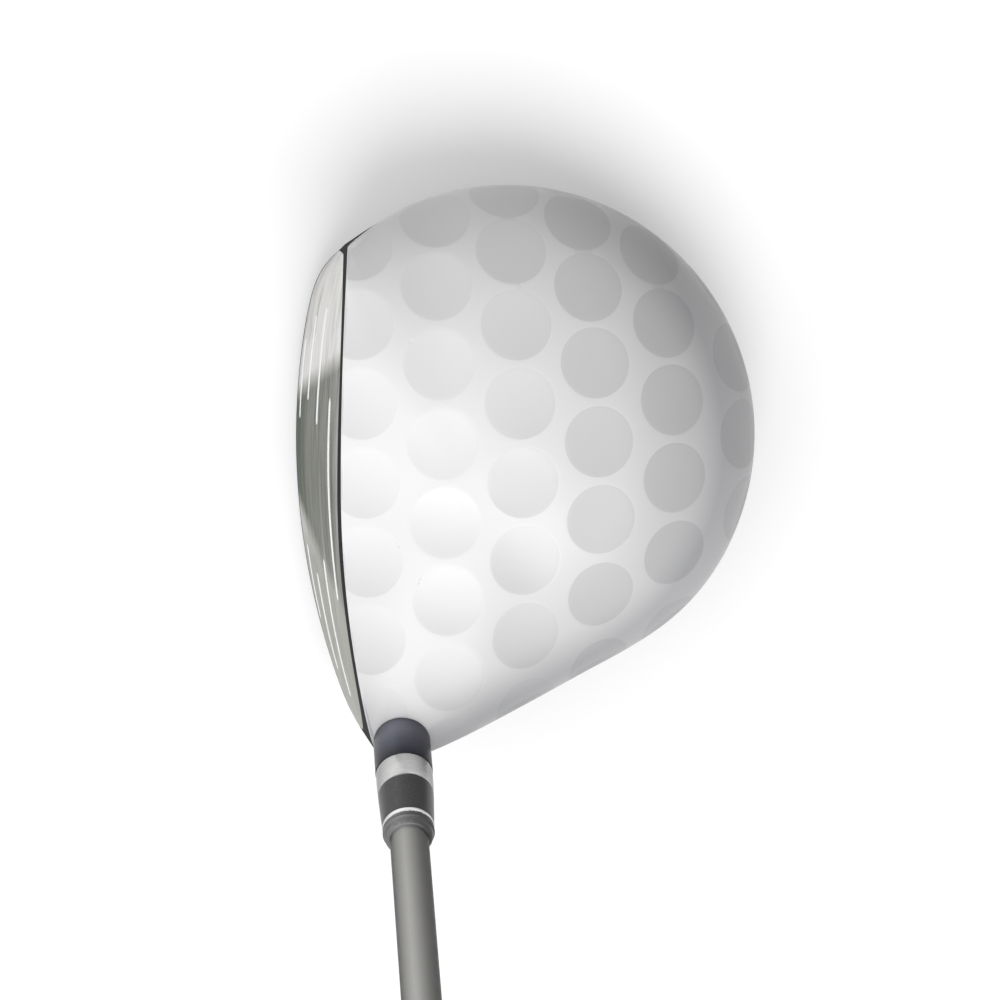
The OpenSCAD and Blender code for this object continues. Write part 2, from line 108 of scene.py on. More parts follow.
def smooth_min(values, k):
    v = np.stack(values)
    low = v.min(0)
    return low * ((low / v) ** k).sum(0) ** (-1 / k)


def to_circle(a, cx, cy, r):
    b = cx * cosd(a) + cy * sind(a)
    return b + np.sqrt(np.maximum(0, b * b - cx * cx - cy * cy + r * r))


def to_line(a, facing, d):
    k = cosd(a - facing)
    return np.where(k > 0.05, d / np.maximum(k, 0.05), 1000.0)


def back_edge(a, inset):
    r = BACK_R - inset
    t = to_circle(a, BACK_X, BACK_Y, r)
    facing = np.degrees(np.arctan2(t * sind(a) - BACK_Y, t * cosd(a) - BACK_X))
    tangent = BACK_X * cosd(HEEL_ANGLE) + BACK_Y * sind(HEEL_ANGLE) + r
    return np.where((facing < HEEL_ANGLE) & (facing > -90), to_line(a, HEEL_ANGLE, tangent), t)


def front_edge(a, rim, inset):
    split = math.degrees(math.atan2(rim[1], rim[4]))
    r = np.where((np.abs(a) < 90) & (a > split), rim[3], rim[2])
    return to_circle(a, rim[4], rim[1] + r, r - inset)


def rim_r(a, rim, inset=0.0, corner=None, heel=HEEL_SHARP):
    """Distance from the head's middle to a rim, in direction a."""
    k = mix(rim[5] if corner is None else corner, heel, ease(0.5 + cosd(a)))
    return smooth_min([back_edge(a, rim[0] + inset), front_edge(a, rim, inset),
                       to_line(a, HEEL_ANGLE, HEEL_SIDE - rim[0] - inset),
                       to_line(a, HEEL_END_ANGLE, HEEL_END - rim[6] - inset)], k)


def off_front(a):
    return np.abs(np.mod(a + 270, 360) - 180)


def front_share(a):
    return 1 - ease((off_front(a) - 58) / 42)


def arch(x):
    return (1 - np.minimum(1, np.abs(x) / 64) ** 2.2) ** (1 / 2.2)


def top_z(a):
    r = rim_r(a, TOP_RIM)
    heel = ease((a + 75) / 50) - ease((a + 15) / 75)
    side = mix(SIDE_Z, HEEL_Z, heel) - BACK_DROP * ease(r * sind(a) / 60)
    return mix(side, TOPLINE_Z, arch(r * cosd(a)) * front_share(a))


def low_z(a):
    r = rim_r(a, LOW_RIM)
    x = r * cosd(a)
    side = SIDE_Z - BACK_DROP * ease(r * sind(a) / 60) - SKIRT_H - 8 * ease((x - 40) / 22)
    return mix(side, LEADING_Z, arch(x) * front_share(a))


def at(a, r, z):
    return np.stack([r * cosd(a), r * sind(a), z + 0 * r], -1)


def share_r(a, s, rim, inset):
    soft = rim_r(a, rim, inset, INNER_SHARP, INNER_SHARP)
    return s * mix(soft, rim_r(a, rim, inset), s ** SHARPEN)


def sole_point(a, s, inset):
    u = np.maximum(0, (s - FLAT_SHARE) / (1 - FLAT_SHARE))
    rise = 1 - np.sqrt(np.maximum(0, 1 - u ** SOLE_POWER))
    return at(a, share_r(a, s, LOW_RIM, inset), low_z(a) * rise + inset)


def wall_point(a, t, inset, edge):
    toe_end = ease((off_front(a) - 58) / 12) * (cosd(a) < 0)
    bulge = mix(0.2, 1.0, front_share(a)) * (1 - toe_end)
    r = mix(rim_r(a, LOW_RIM, inset), rim_r(a, TOP_RIM, edge), t) + bulge * 4 * t * (1 - t)
    top = top_z(a) - BOND_T - edge * front_share(a)
    return at(a, r, mix(low_z(a) + min(inset, WALL), top, t))


def blurred(a, function, reach=14.0):
    """A function of the direction, averaged over a few degrees on both sides."""
    steps = np.linspace(-reach, reach, 29)
    weights = np.exp(-(steps / reach * 2) ** 2)
    return sum(w * function(wrapped(a + t)) for t, w in zip(steps, weights)) / weights.sum()


def wrapped(a):
    """The same direction, counted from the toe end of the face."""
    return np.mod(a - FIRST_A, 360) + FIRST_A


def crown_rims(a, inset):
    """The crown's rim in direction a, and a smoother one that its middle follows."""
    def height(b):
        return top_z(b) - inset * front_share(b)

    def reach(b):
        return rim_r(b, TOP_RIM, inset, INNER_SHARP, INNER_SHARP)

    return blurred(a, reach, 8.0), rim_r(a, TOP_RIM, inset), blurred(a, height), height(a)


def crown_point(a, s, inset, rims):
    near, far, low, high = rims
    dome = 1 - ease((off_front(a) - 15) / 85)
    edge = mix(low, high, s ** SHARPEN_CROWN)
    rise = np.maximum(0, 1 - s ** DOME_POWER) ** mix(DOME_ROUND, 1, dome)
    return at(a, s * mix(near, far, s ** SHARPEN_CROWN), mix(edge, CROWN_Z - inset, rise))


def plate_share(a, k):
    """Share of the wall's height at row k of the face opening, whose corners are rounded."""
    x = np.where(sind(a) < -0.2, TOPLINE_Y / np.tan(np.radians(a)), FACE_TO)
    end = 0.22 * np.minimum(1, np.abs(x - 13) / 70) ** 5
    corner = np.clip((np.abs(x - 15) - 54) / 12, 0, 1)
    end = end + 0.15 * (1 - np.sqrt(1 - corner ** 2))
    high = mix(PLATE_HIGH_TOE, PLATE_HIGH_HEEL, ease((x + 50) / 100)) - end
    low = 0.1 * (PLATE_LOW + end)
    return np.where(k <= PLATE_ROWS, mix(low, high, np.minimum(k, PLATE_ROWS) / PLATE_ROWS),
                    mix(high, 1, k - PLATE_ROWS))


FIRST_A = math.degrees(math.atan2(TOPLINE_Y, FACE_FROM))
LAST_A = math.degrees(math.atan2(TOPLINE_Y, FACE_TO))
FACE_COLUMNS = (FACE_TO - FACE_FROM) // FACE_STEP


def grid_angles(fine):
    face = np.arange(FACE_COLUMNS * fine + 1) * FACE_STEP / fine + FACE_FROM
    back = np.arange(1, BACK_COLUMNS * fine) / (BACK_COLUMNS * fine)
    return np.concatenate([np.degrees(np.arctan2(TOPLINE_Y, face)),
                           LAST_A + (360 + FIRST_A - LAST_A) * back])


# ---------------------------------------------------------------- meshes

def make_object(name, points, faces, inside=None):
    """A mesh object from points in mm. inside says which faces get the second material."""
    mesh = bpy.data.meshes.new(name)
    mesh.from_pydata((np.asarray(points) * MM).tolist(), [], faces)
    if inside is not None:
        mesh.polygons.foreach_set("material_index", np.asarray(inside, np.int32))
    bm = bmesh.new()
    bm.from_mesh(mesh)
    bmesh.ops.recalc_face_normals(bm, faces=bm.faces)
    bm.to_mesh(mesh)
    bm.free()
    obj = bpy.data.objects.new(name, mesh)
    bpy.context.scene.collection.objects.link(obj)
    return obj


def smooth(obj, angle=32):
    obj.data.polygons.foreach_set("use_smooth", [True] * len(obj.data.polygons))
    obj.data.set_sharp_from_angle(angle=math.radians(angle))
    return obj


def shell(name, outer, inner, kept, tip=None):
    """A closed sheet between two grids of points: the cells that kept marks, with side walls."""
    rows, cols = outer.shape[:2]
    wrap = kept.shape[1] == cols
    top = np.arange(rows * cols).reshape(rows, cols)
    deep = rows * cols

    def quads(ids, cells):
        nxt = np.roll(ids, -1, 1) if wrap else ids[:, 1:]
        cur = ids if wrap else ids[:, :-1]
        q = np.stack([cur[:-1], nxt[:-1], nxt[1:], cur[1:]], -1)
        return q[cells]

    skin = quads(top, kept)
    rim = []
    cur = top if wrap else top[:, :-1]
    nxt = np.roll(top, -1, 1) if wrap else top[:, 1:]
    above = np.vstack([np.full((1, kept.shape[1]), tip is not None), kept])
    below = np.vstack([kept, np.zeros((1, kept.shape[1]), bool)])
    for j, i in zip(*np.nonzero(above != below)):
        p, q = cur[j, i], nxt[j, i]
        rim.append((p, q, q + deep, p + deep))
    before = np.roll(kept, 1, 1) if wrap else np.hstack([np.zeros((rows - 1, 1), bool), kept])
    after = kept if wrap else np.hstack([kept, np.zeros((rows - 1, 1), bool)])
    for j, i in zip(*np.nonzero(before != after)):
        p, q = top[j, i], top[j + 1, i]
        rim.append((p, q, q + deep, p + deep))
    faces = skin.tolist() + (skin[:, ::-1] + deep).tolist() + [tuple(map(int, f)) for f in rim]
    inside = [0] * len(skin) + [1] * (len(skin) + len(rim))
    points = np.vstack([outer.reshape(-1, 3), inner.reshape(-1, 3)])
    if tip is not None:
        points = np.vstack([points, np.array(tip, float)])
        centre = 2 * deep
        ring = np.stack([cur[0], nxt[0]], -1)
        faces += [(centre, int(p), int(q)) for p, q in ring]
        faces += [(centre + 1, int(q) + deep, int(p) + deep) for p, q in ring]
        inside += [0] * len(ring) + [1] * len(ring)
    used = np.zeros(len(points), bool)
    for f in faces:
        used[list(f)] = True
    new_id = np.cumsum(used) - 1
    faces = [tuple(int(new_id[v]) for v in f) for f in faces]
    return make_object(name, points[used], faces, inside)


def shaft_place():
    """Local Z along the shaft axis, from the ground up."""
    turn = Matrix.Rotation(math.radians(90 - LIE), 4, "Y")
    return Matrix.Translation(Vector((HOSEL_X, HOSEL_Y, 0)) * MM) @ turn


def weight_place(depth):
    turn = Matrix.Rotation(math.radians(180 + WEIGHT_TILT), 4, "X")
    return Matrix.Translation(Vector((0, WEIGHT_Y, WEIGHT_Z)) * MM) @ turn \
        @ Matrix.Translation((0, 0, -depth * MM))


def arc(cr, cz, r, a0, a1, n=5):
    """Points of a rounded edge, in a profile of (radius, height)."""
    return [(cr + r * math.cos(math.radians(a)), cz + r * math.sin(math.radians(a)))
            for a in np.linspace(a0, a1, n)]


def turned(name, profile, place, sides=ROUND):
    """A profile of (radius, height) turned around local Z; radius 0 closes on the axis."""
    points, rings = [], []
    for r, z in profile:
        if r < 1e-6:
            rings.append([len(points)])
            points.append((0, 0, z))
        else:
            rings.append(list(range(len(points), len(points) + sides)))
            points += [(r * math.cos(a), r * math.sin(a), z)
                       for a in (2 * math.pi * i / sides for i in range(sides))]
    closed = len(rings[0]) > 1 and len(rings[-1]) > 1
    pairs = list(zip(rings, rings[1:])) + ([(rings[-1], rings[0])] if closed else [])
    faces = []
    for low, high in pairs:
        for i in range(sides):
            j = (i + 1) % sides
            if len(low) == 1 and len(high) == 1:
                continue
            if len(low) == 1:
                faces.append((low[0], high[j], high[i]))
            elif len(high) == 1:
                faces.append((low[i], low[j], high[0]))
            else:
                faces.append((low[i], low[j], high[j], high[i]))
    obj = make_object(name, points, faces)
    obj.matrix_world = place
    return smooth(obj)


def cut(obj, *cutters):
    """Takes the cutters away from obj, and removes them."""
    for cutter in cutters:
        mod = obj.modifiers.new("cut", "BOOLEAN")
        mod.operation = "DIFFERENCE"
        mod.solver = "MANIFOLD"
        mod.object = cutter
    bpy.context.view_layer.update()
    graph = bpy.context.evaluated_depsgraph_get()
    mesh = bpy.data.meshes.new_from_object(obj.evaluated_get(graph))
    obj.modifiers.clear()
    obj.data = mesh
    for cutter in cutters:
        bpy.data.objects.remove(cutter)
    return obj


# ---------------------------------------------------------------- materials

class Paint:
    """A node material with one Principled shader and short ways to feed it."""

    def __init__(self, name, **sockets):
        self.mat = bpy.data.materials.new(name)
        self.mat.use_nodes = True
        self.tree = self.mat.node_tree
        self.shader = self.tree.nodes["Principled BSDF"]
        for key, value in sockets.items():
            self.shader.inputs[key.replace("_", " ")].default_value = value
        self.place = self.tree.nodes.new("ShaderNodeTexCoord").outputs["Object"]

    def node(self, kind, **inputs):
        n = self.tree.nodes.new(kind)
        for key, value in inputs.items():
            if isinstance(value, bpy.types.NodeSocket):
                self.tree.links.new(value, n.inputs[key])
            else:
                n.inputs[key].default_value = value
        return n

    def stretched(self, scale, turn=(0, 0, 0)):
        n = self.node("ShaderNodeMapping", Vector=self.place)
        n.inputs["Scale"].default_value = scale
        n.inputs["Rotation"].default_value = [math.radians(t) for t in turn]
        return n.outputs["Vector"]

    def noise(self, scale, detail=3.0, vector=None, rough=0.5):
        return self.node("ShaderNodeTexNoise", Vector=vector or self.place, Scale=scale,
                         Detail=detail, Roughness=rough).outputs["Fac"]

    def ramp(self, value, *stops):
        """Colours or levels at places along 0 to 1."""
        n = self.node("ShaderNodeValToRGB", Fac=value)
        ramp = n.color_ramp
        while len(ramp.elements) < len(stops):
            ramp.elements.new(0.5)
        for element, (pos, colour) in zip(ramp.elements, stops):
            element.position = pos
            if isinstance(colour, (int, float)):
                colour = (colour,) * 3
            element.color = (*colour, 1)
        return n.outputs["Color"]

    def math(self, operation, a, b=0.0):
        n = self.tree.nodes.new("ShaderNodeMath")
        n.operation = operation
        for socket, value in zip(n.inputs, (a, b)):
            if isinstance(value, bpy.types.NodeSocket):
                self.tree.links.new(value, socket)
            else:
                socket.default_value = value
        return n.outputs[0]

    def mixed(self, factor, a, b):
        n = self.tree.nodes.new("ShaderNodeMix")
        n.data_type = "RGBA"
        for socket, value in zip((n.inputs[0], n.inputs[6], n.inputs[7]), (factor, a, b)):
            if isinstance(value, bpy.types.NodeSocket):
                self.tree.links.new(value, socket)
            elif socket.type == "RGBA":
                socket.default_value = (*value, 1)
            else:
                socket.default_value = value
        return n.outputs[2]

    def layer(self, name):
        """A number stored at the mesh's points."""
        n = self.tree.nodes.new("ShaderNodeAttribute")
        n.attribute_name = name
        return n.outputs["Fac"]

    def axis(self, vector, which):
        return self.node("ShaderNodeSeparateXYZ", Vector=vector).outputs[which]

    def facing(self, *stops):
        """Levels from surfaces seen straight on, at 0, to surfaces seen edge on, at 1."""
        n = self.node("ShaderNodeLayerWeight", Blend=0.5)
        return self.ramp(n.outputs["Facing"], *stops)

    def feed(self, socket, value):
        self.tree.links.new(value, self.shader.inputs[socket])
        return self

    def spotted(self, scale, detail, low, high):
        """A colour or level that wanders between low and high."""
        return self.ramp(self.noise(scale, detail), (0.3, low), (0.7, high))

    def roughness(self, scale, detail, low, high):
        return self.feed("Roughness", self.spotted(scale, detail, low, high))

    def bump(self, height, strength, distance=0.0002):
        n = self.node("ShaderNodeBump", Height=height, Strength=strength, Distance=distance)
        return self.feed("Normal", n.outputs["Normal"])


WHITE = (1, 1, 1, 1)


def crown_white():
    p = Paint("crown_white", Roughness=0.42, Coat_Weight=0.4, Coat_Roughness=0.3, Coat_IOR=1.45,
              Specular_IOR_Level=0.3)
    cloud = p.math("MULTIPLY", p.math("SUBTRACT", p.noise(26, 2.0), 0.5), 0.08)
    # Painted shade: the stored crown shade greys the white towards the rear, the toe and the rear
    # rim
    base = p.ramp(p.math("ADD", p.layer("crown_painted_shade"), cloud), (0.0, (0.77, 0.77, 0.775)),
                  (0.45, (0.66, 0.66, 0.665)), (1.0, (0.36, 0.36, 0.37)))
    # Painted shade inside the dimples, mixed towards a dark grey by the stored dimple shade
    inside = p.ramp(p.math("ADD", p.layer("rim_distance"), 0.5), (0.47, 1.0), (0.53, 0.0))
    weight = p.math("MULTIPLY", inside, p.layer("dimple_painted_shade"))
    p.feed("Base Color", p.mixed(weight, base, (0.10, 0.10, 0.105)))
    p.roughness(900, 2.0, 0.38, 0.46)
    return p.bump(p.noise(1400, 2.0), 0.04, 0.0001).mat


def raw_inside():
    p = Paint("raw_inside", Metallic=0.4)
    p.feed("Base Color", p.spotted(300, 4.0, 0.09, 0.14))
    p.roughness(500, 3.0, 0.55, 0.75)
    return p.bump(p.noise(700, 4.0), 0.3).mat


def body_coat():
    p = Paint("body_coat", Specular_IOR_Level=0.0, Coat_Weight=0.12, Coat_Roughness=0.3)
    flake = p.noise(5200, 1.0)
    p.feed("Base Color", p.ramp(flake, (0.35, (0.008, 0.0085, 0.010)),
                                (0.75, (0.022, 0.023, 0.027))))
    p.roughness(120, 3.0, 0.40, 0.52)
    return p.bump(p.noise(2400, 2.0), 0.06, 0.0001).mat


# The face's darker middle, a painted dark reflection: slant of its two borders, and their distance
# from X = 0 in metres
TOE_SLANT, HEEL_SLANT, TOE_BORDER, HEEL_BORDER = 0.25, 0.45, 0.0138, 0.0115


def face_metal():
    p = Paint("face_metal", Metallic=1.0, Anisotropic=0.6)
    broad = p.noise(1.0, 5.0, p.stretched((14, 14, 230)), 0.75)
    fine = p.noise(1.0, 4.0, p.stretched((60, 60, 1500)), 0.7)
    stain = p.noise(1.0, 3.0, p.stretched((45, 45, 160)), 0.6)
    across, up = p.axis(p.place, "X"), p.axis(p.place, "Z")
    wander = p.math("MULTIPLY", p.math("SUBTRACT", broad, 0.5), 0.008)
    across = p.math("ADD", across, wander)
    # Painted dark reflection in the middle of the face, between two slanting borders
    toe_side = p.math("ADD", across, p.math("MULTIPLY", up, TOE_SLANT))
    heel_side = p.math("SUBTRACT", p.math("MULTIPLY", up, HEEL_SLANT), across)
    dark_reflection_zone = p.math("MULTIPLY",
                  p.ramp(p.math("MULTIPLY", p.math("ADD", toe_side, TOE_BORDER), 100.0),
                         (0.0, 0.0), (0.5, 1.0)),
                  p.ramp(p.math("MULTIPLY", p.math("ADD", heel_side, HEEL_BORDER), 100.0),
                         (0.0, 0.0), (0.6, 1.0)))
    grain = p.math("ADD", p.math("MULTIPLY", broad, 0.6), p.math("MULTIPLY", fine, 0.4))
    light = p.ramp(grain, (0.30, (0.66, 0.655, 0.645)), (0.50, (0.78, 0.775, 0.765)),
                   (0.70, (0.88, 0.875, 0.865)))
    light = p.mixed(p.ramp(stain, (0.50, 0.0), (0.68, 0.5)), light, (0.48, 0.475, 0.45))
    heel = p.ramp(p.math("MULTIPLY", across, 20.0), (0.2, 0.0), (0.5, 0.6))
    light = p.mixed(heel, light, (0.40, 0.405, 0.37))
    dark = p.ramp(grain, (0.34, (0.28, 0.283, 0.27)), (0.50, (0.40, 0.402, 0.385)),
                  (0.66, (0.55, 0.55, 0.535)))
    # Painted reflection: the dark middle turns darker and greener towards the bottom
    low = p.ramp(p.math("MULTIPLY", up, 20.0), (0.20, 0.7), (0.60, 0.0))
    dark = p.mixed(low, dark, (0.20, 0.23, 0.19))
    tone = p.mixed(dark_reflection_zone, light, dark)
    # Base colour and specular tint both carry the painted dark reflection
    p.feed("Base Color", tone)
    p.feed("Specular Tint", tone)
    p.feed("Roughness", p.ramp(fine, (0.3, 0.24), (0.7, 0.40)))
    return p.bump(fine, 0.15, 0.0001).mat


def score_paint():
    p = Paint("score_paint", Coat_Weight=0.2)
    p.feed("Base Color", p.spotted(900, 2.0, 0.90, 0.96))
    p.roughness(1200, 2.0, 0.4, 0.6)
    return p.bump(p.noise(2500, 2.0), 0.1, 0.0001).mat


def glue(name, low, high, rough):
    p = Paint(name)
    p.feed("Base Color", p.spotted(700, 3.0, low, high))
    p.roughness(400, 2.0, rough - 0.1, rough + 0.1)
    return p.bump(p.noise(900, 3.0), 0.2).mat


TOWS_PER_M = 560


def carbon():
    """Twill weave: bands of tows that pass over and under each other."""
    p = Paint("sole_carbon", Coat_Weight=0.9, Coat_Roughness=0.06)
    turned_by = p.stretched((1, 1, 1), (0, 0, 45))
    column, row = (p.math("FLOOR", p.math("MULTIPLY", p.axis(turned_by, which), TOWS_PER_M))
                   for which in ("X", "Y"))
    over = p.math("GREATER_THAN",
                  p.math("FRACT", p.math("MULTIPLY", p.math("ADD", column, row), 0.25)), 0.49)
    fibre_x = p.noise(60, 2.0, p.stretched((3, 130, 3), (0, 0, 45)))
    fibre_y = p.noise(60, 2.0, p.stretched((130, 3, 3), (0, 0, 45)))
    tone_x = p.ramp(fibre_x, (0.3, 0.010), (0.7, 0.030))
    tone_y = p.ramp(fibre_y, (0.3, 0.035), (0.7, 0.075))
    p.feed("Base Color", p.mixed(over, tone_x, tone_y))
    p.feed("Roughness", p.ramp(over, (0.0, 0.32), (1.0, 0.48)))
    return p.bump(over, 0.12, 0.0001).mat


# Painted shade on the lacquer of shaft, ferrule and hosel: how dark it lies, from the face's side
# to the back's
SIDE_SHADE_LEVELS = ((0.12, 0.20), (0.31, 0.0), (0.50, 0.17), (0.69, 0.40), (0.88, 0.53))


def paint_side_shade(p, radius, tone, dark, strength):
    # Painted shade: darkens the side away from the face light, fixed on the part
    across = p.math("ADD", p.math("MULTIPLY", p.axis(p.place, "Y"), 0.5 / (radius * MM)), 0.5)
    stops = ((pos, share * strength) for pos, share in SIDE_SHADE_LEVELS)
    return p.mixed(p.ramp(across, *stops), tone, dark)


# Near black of the painted shade on the hosel's and the shaft's back side and edges
HOSEL_DARK, SHAFT_DARK = (0.008, 0.008, 0.012), (0.030, 0.029, 0.027)


def hosel_paint():
    p = Paint("hosel_paint", Metallic=0.1, Specular_IOR_Level=0.12, Coat_Weight=0.14,
              Coat_Roughness=0.15)
    # Painted light: lighter and bluer low on the hosel near the crown, darkening to near black
    # towards the band
    up = p.axis(p.place, "Z")
    hosel_painted_light = p.ramp(p.math("MULTIPLY", up, 10.0), (0.655, (0.26, 0.265, 0.32)),
                   (0.69, (0.14, 0.145, 0.185)), (0.735, (0.045, 0.047, 0.060)))
    # Painted shade on the hosel's side away from the face light
    hosel_painted_light = paint_side_shade(p, HOSEL_R, hosel_painted_light, HOSEL_DARK, 0.8)
    # Painted shade: surfaces seen edge on darken towards near black, leaving a painted highlight
    # down the middle
    p.feed("Base Color", p.mixed(p.facing((0.34, 0.0), (0.80, 0.85)), hosel_painted_light, HOSEL_DARK))
    p.roughness(900, 2.0, 0.30, 0.40)
    return p.bump(p.noise(2400, 2.0), 0.06, 0.0001).mat


def turned_metal(name, low, high, rough, grooves=0.25):
    """Metal turned on a lathe: fine rings around local Z."""
    p = Paint(name, Metallic=1.0, Anisotropic=0.5)
    rings = p.noise(90, 3.0, p.stretched((2, 2, 90)), 0.6)
    tone = p.ramp(rings, (0.3, low), (0.7, high))
    # Painted shade: surfaces seen edge on darken to a third of the low tone, leaving a painted
    # highlight down the middle
    p.feed("Base Color", p.mixed(p.facing((0.34, 0.0), (0.75, 0.85)), tone,
                                 tuple(0.3 * v for v in low)))
    p.roughness(300, 3.0, rough - 0.06, rough + 0.08)
    return p.bump(rings, grooves, 0.0001).mat


# Near black of the painted shade on the ferrule's back side and edges
FERRULE_DARK = (0.006, 0.006, 0.007)


def ferrule_plastic(name, low, high, coat):
    p = Paint(name, Specular_IOR_Level=0.3, Coat_Weight=coat, Coat_Roughness=0.12)
    tone = p.spotted(1500, 2.0, low, high)
    # Painted shade on the ferrule's side away from the face light
    tone = paint_side_shade(p, BAND_R, tone, FERRULE_DARK, 1.5)
    # Painted shade: surfaces seen edge on darken towards near black, leaving a painted highlight
    # down the middle
    p.feed("Base Color", p.mixed(p.facing((0.34, 0.0), (0.50, 0.45), (0.80, 0.9)), tone,
                                 FERRULE_DARK))
    p.feed("Roughness", p.ramp(p.noise(700, 3.0, p.stretched((1, 1, 12))),
                               (0.3, 0.28), (0.7, 0.42)))
    return p.bump(p.noise(900, 2.0, p.stretched((1, 1, 20))), 0.08, 0.0001).mat


def shaft_paint():
    p = Paint("shaft_paint", Metallic=0.1, Specular_IOR_Level=0.05, Coat_Weight=0.04,
              Coat_Roughness=0.18)
    streak = p.noise(260, 3.0, p.stretched((1, 1, 0.02)))
    speck = p.noise(5000, 1.0)
    tone = p.ramp(streak, (0.3, (0.57, 0.565, 0.545)), (0.7, (0.67, 0.665, 0.64)))
    tone = p.mixed(p.ramp(speck, (0.55, 0.0), (0.75, 0.4)), tone, (0.66, 0.655, 0.64))
    # Painted shade on the shaft's side away from the face light
    tone = paint_side_shade(p, TIP_R, tone, SHAFT_DARK, 1.25)
    # Painted shade: surfaces seen edge on darken towards the dark grey, leaving a painted highlight
    # down the middle
    p.feed("Base Color", p.mixed(p.facing((0.30, 0.0), (0.48, 0.35), (0.75, 0.9)), tone,
                                 SHAFT_DARK))
    p.roughness(600, 2.0, 0.34, 0.44)
    return p.bump(p.noise(1800, 2.0), 0.05, 0.0001).mat


def grip_rubber():
    p = Paint("grip_rubber", Specular_IOR_Level=0.3)
    p.feed("Base Color", p.spotted(400, 4.0, 0.010, 0.022))
    p.roughness(800, 3.0, 0.62, 0.82)
    return p.bump(p.noise(2600, 3.0), 0.35, 0.0002).mat


def tape_paper():
    p = Paint("tape_paper")
    wind = p.noise(70, 4.0, p.stretched((30, 30, 3)))
    p.feed("Base Color", p.ramp(wind, (0.3, (0.62, 0.60, 0.52)), (0.7, (0.74, 0.72, 0.64))))
    p.roughness(900, 2.0, 0.7, 0.9)
    return p.bump(wind, 0.3).mat


MATS = {
    "crown": crown_white(), "inside": raw_inside(), "body": body_coat(), "face": face_metal(),
    "score": score_paint(), "bond": glue("bond_glue", 0.010, 0.020, 0.5), "carbon": carbon(),
    "soft": glue("soft_glue", (0.60, 0.52, 0.30), (0.70, 0.63, 0.40), 0.45),
    "hosel": hosel_paint(),
    "sleeve": turned_metal("sleeve_silver", (0.52, 0.52, 0.515), (0.70, 0.70, 0.695), 0.24, 0.06),
    "ring": turned_metal("ring_silver", (0.80, 0.80, 0.80), (0.90, 0.90, 0.90), 0.20, 0.1),
    "ferrule": ferrule_plastic("ferrule_black", 0.070, 0.095, 0.15),
    "ferrule_end": ferrule_plastic("ferrule_satin", 0.22, 0.28, 0.1),
    "shaft": shaft_paint(), "grip": grip_rubber(), "tape": tape_paper(),
    "weight": turned_metal("weight_steel", (0.30, 0.30, 0.31), (0.44, 0.44, 0.45), 0.28),
    "dark_steel": turned_metal("dark_steel", (0.07, 0.07, 0.08), (0.14, 0.14, 0.15), 0.34, 0.1),
    "brass": turned_metal("plug_brass", (0.55, 0.38, 0.14), (0.68, 0.50, 0.22), 0.3),
    "rubber": glue("retainer_rubber", 0.012, 0.022, 0.7),
    "epoxy": glue("shaft_epoxy", (0.55, 0.50, 0.36), (0.65, 0.60, 0.46), 0.35),
}


def finish_piece(obj, body, slot, materials, *nodes):
    for i, key in enumerate(materials):
        if i < len(obj.data.materials):
            obj.data.materials[i] = MATS[key]
        else:
            obj.data.materials.append(MATS[key])
    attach(obj, body)
    if nodes:
        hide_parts(*nodes)
    return obj


# ---------------------------------------------------------------- head

ANGLES = grid_angles(FINE)
COLUMNS = len(ANGLES)


NECK_R = HOSEL_R - 0.75     # of the hole that the hosel stands in


def hosel_cutter():
    return turned("cutter", [(0, -10), (NECK_R, -10), (NECK_R, 110), (0, 110)], shaft_place(), 64)


def sub_rows(stops, n):
    """Every stop, with n steps between one and the next."""
    out = [mix(a, b, i / n) for a, b in zip(stops, stops[1:]) for i in range(n)]
    return out + [stops[-1]]


SOLE_FINE, WALL_FINE = 3, 5


def body_grid(inset):
    rows = [sole_point(ANGLES, s, inset) for s in sub_rows(SOLE_RINGS, SOLE_FINE)]
    t0 = plate_share(ANGLES, 0.0)
    rows += [wall_point(ANGLES, t0 * i / 3, inset, inset) for i in (1, 2)]
    rows += [wall_point(ANGLES, plate_share(ANGLES, k), inset, inset)
             for k in sub_rows(range(PLATE_ROWS + 2), WALL_FINE)]
    return np.stack(rows)


FIRST_WALL = (len(SOLE_RINGS) - 1) * SOLE_FINE + 3
PLATE_SPAN = (FIRST_WALL, FIRST_WALL + PLATE_ROWS * WALL_FINE,
              PLATE_COLUMNS[0] * FINE, PLATE_COLUMNS[1] * FINE)


def panel_span(limits):
    coarse = ANGLES[::FINE]
    inside = [i for i, a in enumerate(coarse) if limits[0] <= a <= limits[1]]
    return (PANEL_RINGS[0] * SOLE_FINE, PANEL_RINGS[1] * SOLE_FINE,
            inside[0] * FINE, inside[-1] * FINE)


TOE_SPAN, HEEL_SPAN = panel_span(PANEL_TOE), panel_span(PANEL_HEEL)
OUTER, INNER = body_grid(0.0), body_grid(WALL)


def make_body():
    kept = np.ones((len(OUTER) - 1, COLUMNS), bool)
    for j0, j1, i0, i1 in (PLATE_SPAN, TOE_SPAN, HEEL_SPAN):
        kept[j0:j1, i0:i1] = False
    obj = shell("head_shell", OUTER, INNER, kept, [(0, 0, 0), (0, 0, WALL)])
    r = WEIGHT_R + GAP + 0.9
    port = turned("cutter", [(0, -8), (r, -8), (r, 12), (0, 12)], weight_place(4.0), 64)
    cut(obj, hosel_cutter(), port)
    smooth(obj)
    finish_piece(obj, "head", "body_titanium", ("body", "inside"), "head_body")


def part_of(grid, span):
    j0, j1, i0, i1 = span
    return grid[j0:j1 + 1, i0:i1 + 1].copy()


def chamfered(outer, inner, depth):
    """The outer grid with its border lowered towards the inner one, for an open seam."""
    thick = np.linalg.norm(outer - inner, axis=-1, keepdims=True)
    lower = outer + (inner - outer) * depth / thick
    for border in (np.s_[0, :], np.s_[-1, :], np.s_[:, 0], np.s_[:, -1]):
        outer[border] = lower[border]
    return outer


